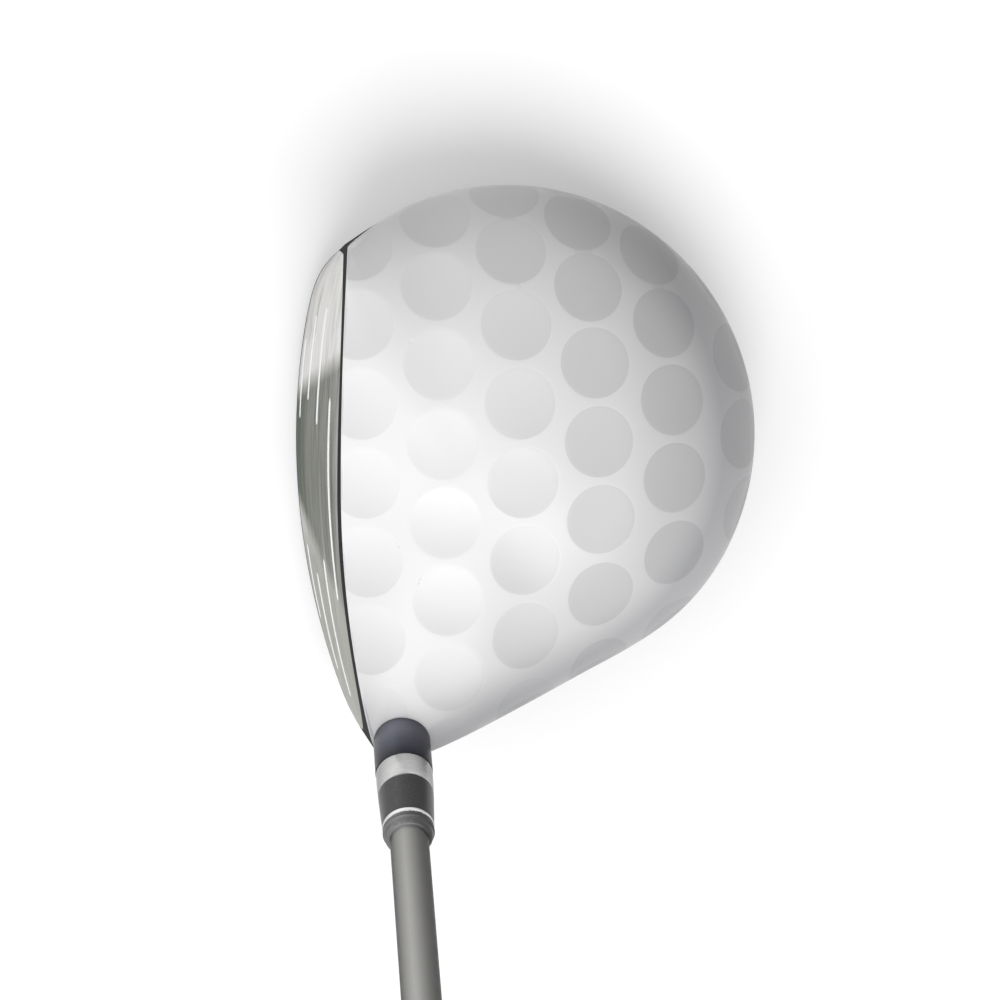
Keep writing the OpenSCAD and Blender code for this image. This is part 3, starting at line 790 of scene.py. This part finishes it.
def make_panels():
    for name, span in (("sole_panel_toe", TOE_SPAN), ("sole_panel_heel", HEEL_SPAN)):
        outer, inner = part_of(OUTER, span), part_of(INNER, span)
        rows, cols = outer.shape[:2]
        obj = shell(name + "_weave", chamfered(outer, inner, PANEL_BEVEL), inner,
                    np.ones((rows - 1, cols - 1), bool))
        smooth(obj)
        finish_piece(obj, "head", "sole_composite", ("carbon", "inside"), name)


# Score lines on the face: height, and both ends along X
SCORES = [(12.5, -27, -8), (23, -33, -13), (34.3, -35.5, -8), (46.3, -15, 32),
          (14, 22, 40), (24, 28, 51), (35.5, 23.5, 56)]
SCORE_W, FACE_BEVEL, PANEL_BEVEL = 1.5, 0.12, 0.35
GROOVE_HIGH, GROOVE_LOW = 0.6, -0.4     # the groove's cutter, above and below the surface
FILL_HIGH, FILL_LOW = 0.05, -0.42       # the paint in it


def on_face(x, z):
    """Points of the face plate's surface at these x and z, found by stepping towards them."""
    a = np.degrees(np.arctan2(-28.0, x))
    t = np.full_like(x, 0.5)
    for _ in range(60):
        p = wall_point(a, t, 0.0, 0.0)
        a = a + np.degrees((x - p[:, 0]) / 75)
        t = np.clip(t + (z - p[:, 2]) / 75, 0, 1)
    return wall_point(a, t, 0.0, 0.0)


def face_normals(x, z):
    step = 0.2
    along = on_face(x + step, z) - on_face(x - step, z)
    up = on_face(x, z + step) - on_face(x, z - step)
    n = np.cross(up, along)
    n /= np.linalg.norm(n, axis=1, keepdims=True)
    return n * -np.sign(n[:, 1:2])


def score_strip(name, line, width, high, low, steps=48):
    """A strip along a score line, from high to low mm above the face, with rounded ends."""
    z, x0, x1 = line
    u = np.linspace(0, 1, steps)
    x = mix(x0, x1, u)
    reach = np.minimum(x - x0, x1 - x) / (width / 2)
    half = width / 2 * np.sqrt(np.clip(1 - (1 - np.clip(reach, 0.02, 1)) ** 2, 0.02, 1))
    normal = face_normals(x, np.full_like(x, z))
    rows = [(k, on_face(x, z + k * half)) for k in (-1.0, -0.5, 0.0, 0.5, 1.0)]
    outer = np.stack([p + normal * high for k, p in rows])
    inner = np.stack([p + normal * low for k, p in rows])
    return shell(name, outer, inner, np.ones((len(rows) - 1, steps - 1), bool))


def make_face():
    inner = part_of(INNER, PLATE_SPAN)
    outer = part_of(OUTER, PLATE_SPAN)
    j, i = np.meshgrid(range(outer.shape[0]), range(outer.shape[1]), indexing="ij")
    off_edge = np.minimum(np.minimum(j, outer.shape[0] - 1 - j) / WALL_FINE,
                          np.minimum(i, outer.shape[1] - 1 - i) / FINE)
    thick = ease(off_edge)[..., None]
    shares = sub_rows(range(PLATE_ROWS + 1), WALL_FINE)
    columns = ANGLES[PLATE_SPAN[2]:PLATE_SPAN[3] + 1]
    middle = np.stack([wall_point(columns, plate_share(columns, k), FACE_T, FACE_T)
                       for k in shares])
    inner = mix(inner, middle, thick)
    rows, cols = outer.shape[:2]
    obj = shell("face_plate_brushed", chamfered(outer, inner, FACE_BEVEL), inner,
                np.ones((rows - 1, cols - 1), bool))
    grooves = [score_strip(f"groove_{n}", line, SCORE_W, GROOVE_HIGH, GROOVE_LOW)
               for n, line in enumerate(SCORES)]
    cut(obj, *grooves)
    smooth(obj)
    finish_piece(obj, "head", "face_metal", ("face", "inside"), "face_plate")
    for n, line in enumerate(SCORES):
        fill = smooth(score_strip(f"score_line_{n}", line, SCORE_W - 0.04, FILL_HIGH, FILL_LOW))
        finish_piece(fill, "head", "face_metal", ("score", "score"))


# Dimples of the crown: size, pitch, degrees that the rows lean, middle of the pattern
DIMPLE_R, DIMPLE_DEPTH, PITCH, LEAN = 8.2, 0.5, 18.1, 2.0
DIMPLE_MIDDLE = (-14.5, 14.6)
# How far the pitch follows the falling surface at the rear and at the toe, and how much of its
# fall counts in a dimple's radius
REAR_SHARE, TOE_SHARE, DROP_SHARE = 0.0, 0.87, 0.75
CROWN_ROWS = 110
SNAP_SHARE = 0.47       # of a grid step, that a point may move to lie on a dimple's edge


def crown_at(x, y):
    """The point of the crown, dimples aside, at this place in plan."""
    a = wrapped(np.degrees(np.arctan2(y, x)))
    r = np.hypot(x, y)
    rims = crown_rims(a, 0.0)
    near, far = rims[:2]
    s = np.clip(r / near, 0, 1)
    for _ in range(12):
        over = s * mix(near, far, s ** SHARPEN_CROWN) - r
        slope = near + (far - near) * (SHARPEN_CROWN + 1) * s ** SHARPEN_CROWN
        s = np.clip(s - over / np.maximum(slope, 5.0), 0, 1)
    return crown_point(a, s, 0.0, rims)


def dimple_centres():
    """Staggered rows, set out from DIMPLE_MIDDLE by a length between the plan's and the arc's."""
    found = []
    mid = np.array(DIMPLE_MIDDLE)
    reach = np.arange(0.0, 90.0, 0.5)
    for col in range(-3, 5):
        for row in range(-5, 7):
            along = (row + (0.5 if col % 2 else 0.0)) * PITCH
            u = along * cosd(LEAN)
            v = along * sind(LEAN) + col * PITCH
            far = math.hypot(u, v)
            if far < 1e-6:
                found.append(crown_at(mid[:1], mid[1:])[0])
                continue
            way = np.array([u, v]) / far
            line = mid + reach[:, None] * way
            p = crown_at(line[:, 0], line[:, 1])
            beyond = np.hypot(*(line - p[:, :2]).T) > 0.5
            steps = np.linalg.norm(np.diff(p, axis=0), axis=1)
            arc_length = np.concatenate([[0], np.cumsum(steps)])
            arc_length = mix(reach, arc_length, mix(REAR_SHARE, TOE_SHARE, max(0, -u / far)))
            end = np.argmax(beyond) if beyond.any() else len(reach)
            plan = np.interp(far, arc_length[:end], reach[:end], right=999.0)
            if plan < 900:
                q = mid + plan * way
                found.append(crown_at(q[:1], q[1:])[0])
            elif far < arc_length[end - 1] + 6.0:
                slope = (p[end - 1] - p[end - 4]) / np.linalg.norm(p[end - 1] - p[end - 4])
                found.append(p[end - 1] + slope * (far - arc_length[end - 1]))
    return np.array(found)


CENTRES = dimple_centres()


def dimple_distance(points, centre):
    """Mostly the distance in plan, so that dimples stay round from above on the falling edge."""
    return np.linalg.norm((points - centre) * (1, 1, DROP_SHARE), axis=1)


def nearest_dimple(points):
    best = np.full(len(points), 1e9)
    which = np.zeros(len(points), int)
    for n, c in enumerate(CENTRES):
        d = dimple_distance(points, c)
        which = np.where(d < best, n, which)
        best = np.minimum(best, d)
    return best, which


def make_crown():
    shares = np.sin(np.radians(90 * np.arange(1, CROWN_ROWS + 1) / CROWN_ROWS))
    outer_rims, inner_rims = crown_rims(ANGLES, 0.0), crown_rims(ANGLES, WALL)
    outer = np.stack([crown_point(ANGLES, s, 0.0, outer_rims) for s in shares])
    inner = np.stack([crown_point(ANGLES, s, WALL, inner_rims) for s in shares])
    flat = outer.reshape(-1, 3)
    share = np.repeat(shares, COLUMNS)
    # Grid points close to a dimple's edge move onto it, so that the edge is crisp
    column_step = np.linalg.norm(np.roll(outer, -1, 1) - outer, axis=-1).ravel()
    row_step = np.linalg.norm(np.gradient(outer, axis=0), axis=-1).ravel()
    out = flat[:, :2] / np.maximum(np.linalg.norm(flat[:, :2], axis=1, keepdims=True), 1e-6)
    d, which = nearest_dimple(flat)
    c = CENTRES[which]
    way = (flat[:, :2] - c[:, :2]) / np.maximum(d, 1e-6)[:, None]
    outward = np.abs((way * out).sum(1)) + 1e-3
    sideways = np.abs(way[:, 0] * out[:, 1] - way[:, 1] * out[:, 0]) + 1e-3
    room = SNAP_SHARE * np.minimum(row_step / outward, column_step / sideways)
    near = (np.abs(d - DIMPLE_R) < room) & (share < 0.985) & (share > 0.05)
    for _ in range(2):
        c = CENTRES[which[near]]
        d = dimple_distance(flat[near], c)
        moved = c[:, :2] + (flat[near, :2] - c[:, :2]) * (DIMPLE_R / d)[:, None]
        flat[near] = crown_at(moved[:, 0], moved[:, 1])
    d, which = nearest_dimple(flat)
    grid = flat.reshape(outer.shape)
    across = np.roll(grid, -1, 1) - np.roll(grid, 1, 1)
    along = np.gradient(grid, axis=0)
    normal = np.cross(across, along)
    normal /= np.maximum(np.linalg.norm(normal, axis=-1, keepdims=True), 1e-9)
    normal *= np.sign(normal[..., 2:3])
    depth = DIMPLE_DEPTH * np.maximum(0, 1 - (d / DIMPLE_R) ** 2) * ease((1 - share) / 0.012)
    grid = grid - normal * depth.reshape(grid.shape[:2])[..., None]
    middle = nearest_dimple(np.array([[0.0, 0.0, CROWN_Z]]))[0][0]
    dip = DIMPLE_DEPTH * max(0, 1 - (middle / DIMPLE_R) ** 2)
    obj = shell("crown_shell", grid, inner, np.ones((CROWN_ROWS - 1, COLUMNS), bool),
                [(0, 0, CROWN_Z - dip), (0, 0, CROWN_Z - WALL)])
    cut(obj, hosel_cutter())
    smooth(obj, 40)
    paint_crown(obj)
    finish_piece(obj, "head", "crown_white", ("crown", "inside"), "crown")


def paint_crown(obj):
    """Stores at the points what the crown's lacquer needs: dimple edges, the painted shade in the
    dimples, and the painted shade that greys the crown towards rear and toe.
    """
    co = np.zeros(len(obj.data.vertices) * 3)
    obj.data.vertices.foreach_get("co", co)
    co = co.reshape(-1, 3) / MM
    d, which = nearest_dimple(co)
    # Painted shade in each dimple: darker towards the rear and on its heel side, as lit concave
    # dimples would look
    across = np.clip((co[:, :2] - CENTRES[which][:, :2]) / DIMPLE_R, -1, 1)
    rear = ease((CENTRES[which][:, 1] + 10) / 60)
    shade = 0.07 + 0.12 * rear + mix(0.07, -0.02, rear) * across[:, 0]
    # The painted dimple shade shows least along the front, where the light falls
    shade = shade * (1 - 0.9 * np.exp(-np.hypot((co[:, 0] - 2) / 40, (co[:, 1] + 5) / 16) ** 2))
    # Painted shade: the white greys from the face and heel side towards the rear and toe, and more
    # along the rear rim
    a = wrapped(np.degrees(np.arctan2(co[:, 1], co[:, 0])))
    edge = np.hypot(co[:, 0], co[:, 1]) / rim_r(a, TOP_RIM)
    toewards = np.where(co[:, 0] < -2, 0.72, 1.0)
    crown_painted_shade = ease(np.hypot((co[:, 0] + 2) * toewards, co[:, 1] + 12) / 106)
    rearward = (1 - front_share(a)) * mix(1.0, 0.1, ease((a - 110) / 60))
    crown_painted_shade = crown_painted_shade + 0.42 * ease((edge - 0.76) / 0.24) * rearward
    for name, value in (("rim_distance", np.clip(d - DIMPLE_R, -1, 1)), ("dimple_painted_shade", shade),
                        ("crown_painted_shade", crown_painted_shade)):
        layer = obj.data.attributes.new(name, "FLOAT", "POINT")
        layer.data.foreach_set("value", value.astype(np.float32))


def make_bond():
    outer, inner = [], []
    for grid, inset in ((outer, 0.12), (inner, WALL)):
        for drop in (BOND_T, 0.0):
            z = top_z(ANGLES) - inset * front_share(ANGLES) - drop
            grid.append(at(ANGLES, rim_r(ANGLES, TOP_RIM, inset), z))
    obj = shell("crown_glue_line", np.stack(outer), np.stack(inner), np.ones((1, COLUMNS), bool))
    cut(obj, hosel_cutter())
    smooth(obj)
    finish_piece(obj, "head", "glue", ("bond", "bond"), "crown_bond")


def make_hosel():
    bore = SLEEVE_R + GAP
    seat = SCREW_SEAT + BULKHEAD
    foot = -4.0
    waist = HOSEL_R - 0.55
    profile = [(ACCESS_R, foot), (HOSEL_R, foot), (HOSEL_R, 12.0), (waist, 14.0)] \
        + arc(0.0, DOME_T, HOSEL_R, -math.degrees(math.acos(waist / HOSEL_R)), 0, 9) \
        + arc(HOSEL_R - 0.3, HOSEL_TOP - 0.3, 0.3, 0, 90) \
        + [(bore + 0.25, HOSEL_TOP), (bore, HOSEL_TOP - 0.25), (bore, seat), (M5_R + GAP, seat),
           (M5_R + GAP, SCREW_SEAT), (ACCESS_R, SCREW_SEAT)]
    obj = turned("hosel", profile, shaft_place())
    below = turned("cutter", [(0, -40), (40, -40), (40, HOSEL_FOOT), (0, HOSEL_FOOT)],
                   Matrix.Translation(Vector((HOSEL_X, HOSEL_Y, 0)) * MM), 32)
    cut(obj, below)
    smooth(obj)
    finish_piece(obj, "head", "hosel_paint", ("hosel",), "hosel_tube")


# ---------------------------------------------------------------- sleeve, ferrule, shaft, grip

def make_sleeve():
    bore = TIP_R + EPOXY
    low = HOSEL_TOP + GAP
    profile = [(M5_R + GAP, SLEEVE_FOOT), (SLEEVE_R - 0.6, SLEEVE_FOOT),
               (SLEEVE_R, SLEEVE_FOOT + 0.8)]
    # Eight keyways near the foot show as rings here, then the plain stem
    for k in range(3):
        z = SLEEVE_FOOT + 3 + 2.2 * k
        profile += [(SLEEVE_R, z), (SLEEVE_R - 0.25, z + 0.25), (SLEEVE_R - 0.25, z + 0.85),
                    (SLEEVE_R, z + 1.1)]
    profile += [(SLEEVE_R, low)] + arc(BAND_R - 0.35, low + 0.35, 0.35, -90, 0) \
        + [(BAND_R, HOSEL_TOP + 4)] \
        + arc(BAND_TOP_R - 0.2, BAND_TOP - 0.2, 0.2, 0, 90) \
        + [(bore, BAND_TOP), (bore, SHAFT_FOOT), (M5_R + GAP, SHAFT_FOOT)]
    finish_piece(turned("loft_sleeve_turned", profile, shaft_place()), "shaft", "sleeve_silver",
                 ("sleeve",), "loft_sleeve")


def make_ferrule():
    mid = (BAND_TOP + RING_FOOT) / 2
    base = [(TIP_R, BAND_TOP)] + arc(BAND_TOP_R - 0.15, BAND_TOP + 0.15, 0.15, -90, 0) \
        + [(6.33, BAND_TOP + 1.2), (6.29, BAND_TOP + 2.4), (6.16, mid), (6.06, RING_FOOT - 3),
           (5.96, RING_FOOT - 1.5)] \
        + arc(RING_R - 0.05, RING_FOOT - 0.12, 0.12, 0, 90) + [(TIP_R, RING_FOOT)]
    finish_piece(turned("ferrule_barrel", base, shaft_place()), "shaft", "ferrule_black",
                 ("ferrule",), "ferrule_base")
    ring = [(TIP_R, RING_FOOT)] + arc(RING_R - 0.1, RING_FOOT + 0.12, 0.14, -90, 0) \
        + [(RING_R + 0.05, (RING_FOOT + RING_TOP) / 2)] \
        + arc(RING_R - 0.12, RING_TOP - 0.12, 0.14, 0, 90) + [(TIP_R, RING_TOP)]
    finish_piece(turned("ferrule_trim_ring", ring, shaft_place()), "shaft", "ring_silver",
                 ("ring",), "ferrule_ring")
    r = RING_R - 0.04
    bead = RING_TOP + 1.2
    end = [(TIP_R, RING_TOP)] + arc(r - 0.1, RING_TOP + 0.1, 0.1, -90, 0, 3) \
        + [(r - 0.16, bead - 0.4)] \
        + [(r - 0.28 + 0.36 * math.cos(math.radians(a)), bead + 0.36 * math.sin(math.radians(a)))
           for a in range(-60, 61, 15)] + [(r - 0.26, bead + 0.55)] \
        + [(FERRULE_END_R + (r - 0.3 - FERRULE_END_R) * math.cos(math.radians(a)),
            bead + 0.7 + (FERRULE_TOP - bead - 0.7) * math.sin(math.radians(a)))
           for a in range(8, 91, 9)] + [(TIP_R, FERRULE_TOP)]
    finish_piece(turned("ferrule_rounded_end", end, shaft_place()), "shaft", "ferrule_black",
                 ("ferrule_end",), "ferrule_end")


def shaft_r(t):
    return mix(TIP_R, BUTT_R, min(1.0, max(0.0, (t - TAPER_FROM) / (TAPER_TO - TAPER_FROM))))


def make_shaft():
    wall_top = BUTT_R - 1
    stations = np.linspace(TAPER_FROM, TAPER_TO, 40)
    profile = [(TIP_R - SHAFT_WALL, SHAFT_FOOT), (TIP_R, SHAFT_FOOT)] \
        + [(shaft_r(t), t) for t in stations] \
        + [(BUTT_R, BUTT_TOP), (wall_top, BUTT_TOP), (wall_top, TAPER_TO),
           (TIP_R - SHAFT_WALL, TAPER_FROM)]
    finish_piece(turned("shaft_tube", profile, shaft_place()), "shaft", "shaft_grey", ("shaft",),
                 "shaft")


def grip_outline(t):
    """Smooth outer radius of the grip, t mm along the shaft axis."""
    stops = [GRIP_FOOT, GRIP_FOOT + 95, GRIP_TOP - 60, GRIP_TOP - 25, GRIP_TOP - 4, GRIP_TOP]
    radii = [GRIP_MOUTH_R, GRIP_MOUTH_R + 1.1, 11.4, 12.4, GRIP_BUTT_R - 0.25, GRIP_BUTT_R - 0.1]
    return np.interp(t, stops, radii)


GRIP_SIDES, GRIP_STEP = 144, 0.75


def make_grip():
    """A rubber sleeve moulded with crossing grooves in panels, and rings at its mouth and cap."""
    t = np.arange(GRIP_FOOT, GRIP_TOP + 0.01, GRIP_STEP)
    t[-1] = GRIP_TOP
    turn = np.arange(GRIP_SIDES) * 2 * np.pi / GRIP_SIDES
    tt, aa = np.meshgrid(t, turn, indexing="ij")
    r = grip_outline(tt)
    mouth = np.clip((tt - GRIP_FOOT) / 1.6, 0, 1)
    r = r - 1.2 * (1 - np.sqrt(1 - (1 - mouth) ** 2))
    run = tt - GRIP_FOOT
    length = GRIP_TOP - GRIP_FOOT
    # Crossing grooves, 12 pairs around, at a pitch of 9 mm along
    one = np.abs(((aa * 12 / (2 * np.pi) + run / 9) % 1) - 0.5) * 2
    two = np.abs(((aa * 12 / (2 * np.pi) - run / 9) % 1) - 0.5) * 2
    groove = np.maximum(ease((0.22 - one) / 0.22), ease((0.22 - two) / 0.22))
    patch = ease((run - 14) / 2) * ease((length - 18 - run) / 2)
    # Plain bands divide the pattern
    for band in (92.0, 178.0):
        patch = patch * ease((np.abs(run - band) - 4.0) / 1.0)
    r = r - 0.38 * groove * patch
    for ring in (7.0, 10.0, 88.8, 95.2, 174.8, 181.2, length - 14, length - 10, length - 6):
        r = r - 0.35 * ease(1 - np.abs(run - ring) / 0.9)
    outer = np.stack([r * np.cos(aa), r * np.sin(aa), tt], -1)
    bore = np.array([shaft_r(v) + TAPE for v in t])
    bore = np.repeat(bore[:, None], GRIP_SIDES, 1)
    inner = np.stack([bore * np.cos(aa), bore * np.sin(aa), tt], -1)
    obj = shell("grip_sleeve", outer, inner, np.ones((len(t) - 1, GRIP_SIDES), bool))
    obj.matrix_world = shaft_place()
    smooth(obj, 45)
    finish_piece(obj, "shaft", "grip_rubber", ("grip", "grip"), "grip")
    r = GRIP_BUTT_R
    cap = [(VENT_R, GRIP_TOP), (r - 0.3, GRIP_TOP)] + arc(r - 0.3, GRIP_TOP + 0.3, 0.3, -90, 0, 4) \
        + [(r, GRIP_TOP + 1)] \
        + [(r - 3 + 3 * math.cos(math.radians(a)),
            GRIP_TOP + 1 + (CAP_T - 1) * math.sin(math.radians(a))) for a in range(10, 91, 10)] \
        + [(9.4, GRIP_TOP + CAP_T), (9.1, GRIP_TOP + CAP_T - 0.35), (8.3, GRIP_TOP + CAP_T - 0.35),
           (8.0, GRIP_TOP + CAP_T), (VENT_R + 1.1, GRIP_TOP + CAP_T),
           (VENT_R + 0.8, GRIP_TOP + CAP_T - 0.3), (VENT_R + 0.3, GRIP_TOP + CAP_T - 0.3)] \
        + arc(VENT_R + 0.3, GRIP_TOP + CAP_T - 0.6, 0.3, 90, 180, 4)
    finish_piece(turned("grip_end_cap", cap, shaft_place()), "shaft", "grip_rubber", ("grip",),
                 "grip_cap")


# ---------------------------------------------------------------- rear weight

def make_weight():
    top = WEIGHT_H
    r = WEIGHT_R
    profile = [(2.1, 0), (r, 0), (r, top - 0.6)] + arc(r - 0.5, top - 0.5, 0.5, 0, 90) \
        + [(r - 1.6, top), (r - 1.8, top - 0.3), (r - 2.2, top - 0.3), (r - 2.4, top),
           (4.25, top), (3.66, top - 0.6), (3.65, top - 3.3), (2.1, top - 3.3)]
    obj = turned("weight_disc", profile, weight_place(WEIGHT_H + PORT_LIP))
    notches = []
    for n in range(3):
        place = obj.matrix_world @ Matrix.Rotation(math.radians(120 * n + 30), 4, "Z") \
            @ Matrix.Translation((5.6 * MM, 0, (top - 0.35) * MM))
        notches.append(turned("cutter", [(0, 0), (0.55, 0), (0.55, 2), (0, 2)], place, 32))
    cut(obj, *notches)
    smooth(obj)
    finish_piece(obj, "rear_weight", "weight_steel", ("weight",), "rear_weight")


def dress_nodes():
    """CAD nodes whose shape is right, with better materials."""
    for name, key in (("weight_port", "dark_steel"), ("weight_screw", "dark_steel"),
                      ("hosel_screw", "weight"), ("rattle_glue", "soft"), ("tip_plug", "brass"),
                      ("shaft_epoxy", "epoxy"), ("screw_retainer", "rubber"),
                      ("grip_tape", "tape")):
        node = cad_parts[name]
        if not node.material_slots:
            node.data.materials.append(MATS[key])
        for slot in node.material_slots:
            slot.material = MATS[key]


make_body()
make_panels()
make_face()
make_crown()
make_bond()
make_hosel()
make_sleeve()
make_ferrule()
make_shaft()
make_grip()
make_weight()
dress_nodes()

# ---------------------------------------------------------------- floor, light and camera


FLOOR_HALF = 30000.0
AMBIENT, FLOOR_GLOW = 0.15, 0.36
CAMERA_SPOT = (-0.0797, -0.0645, 0.9662)
CAMERA_TILT_X, CAMERA_TILT_Y = 5.5, 4.7     # degrees off the vertical


def make_floor():
    half = FLOOR_HALF
    floor = make_object("floor", [(-half, -half, 0), (half, -half, 0), (half, half, 0),
                                  (-half, half, 0)], [(0, 1, 2, 3)])
    p = Paint("floor_glow", Roughness=0.9, Specular_IOR_Level=0.0, Emission_Strength=FLOOR_GLOW,
              Emission_Color=WHITE)
    p.feed("Base Color", p.spotted(3, 2.0, 0.62, 0.63))
    floor.data.materials.append(p.mat)


def make_world():
    world = bpy.data.worlds.new("studio")
    bpy.context.scene.world = world
    world.use_nodes = True
    back = world.node_tree.nodes["Background"]
    back.inputs["Color"].default_value = WHITE
    back.inputs["Strength"].default_value = AMBIENT


def sun(name, direction, strength, size):
    """A broad soft light that shines from a direction, size degrees across."""
    light = bpy.data.lights.new(name, "SUN")
    light.energy = strength
    light.angle = math.radians(size)
    obj = bpy.data.objects.new(name, light)
    bpy.context.scene.collection.objects.link(obj)
    obj.rotation_euler = Vector(direction).to_track_quat("Z", "Y").to_euler()


def make_camera():
    """Looks down on the head from above, a little from the toe's and the face's side."""
    spot = Vector(CAMERA_SPOT)
    back = Vector((-math.tan(math.radians(CAMERA_TILT_X)),
                   -math.tan(math.radians(CAMERA_TILT_Y)), 1)).normalized()
    up = (Vector((-1, 0, 0)) - back * back.dot(Vector((-1, 0, 0)))).normalized()
    right = up.cross(back)
    data = bpy.data.cameras.new("camera")
    data.lens = 144
    data.sensor_width = 36
    data.clip_start = 0.01
    data.clip_end = 100
    cam = bpy.data.objects.new("camera", data)
    bpy.context.scene.collection.objects.link(cam)
    turn = Matrix((right, up, back)).transposed()
    cam.matrix_world = Matrix.Translation(spot) @ turn.to_4x4()
    bpy.context.scene.camera = cam


make_floor()
make_world()
sun("heel_light", (0.68, 0.10, 1.0), 2.5, 46)
sun("face_light", (0.15, -0.75, 1.0), 1.5, 80)
make_camera()
bpy.context.scene.view_settings.view_transform = "Standard"
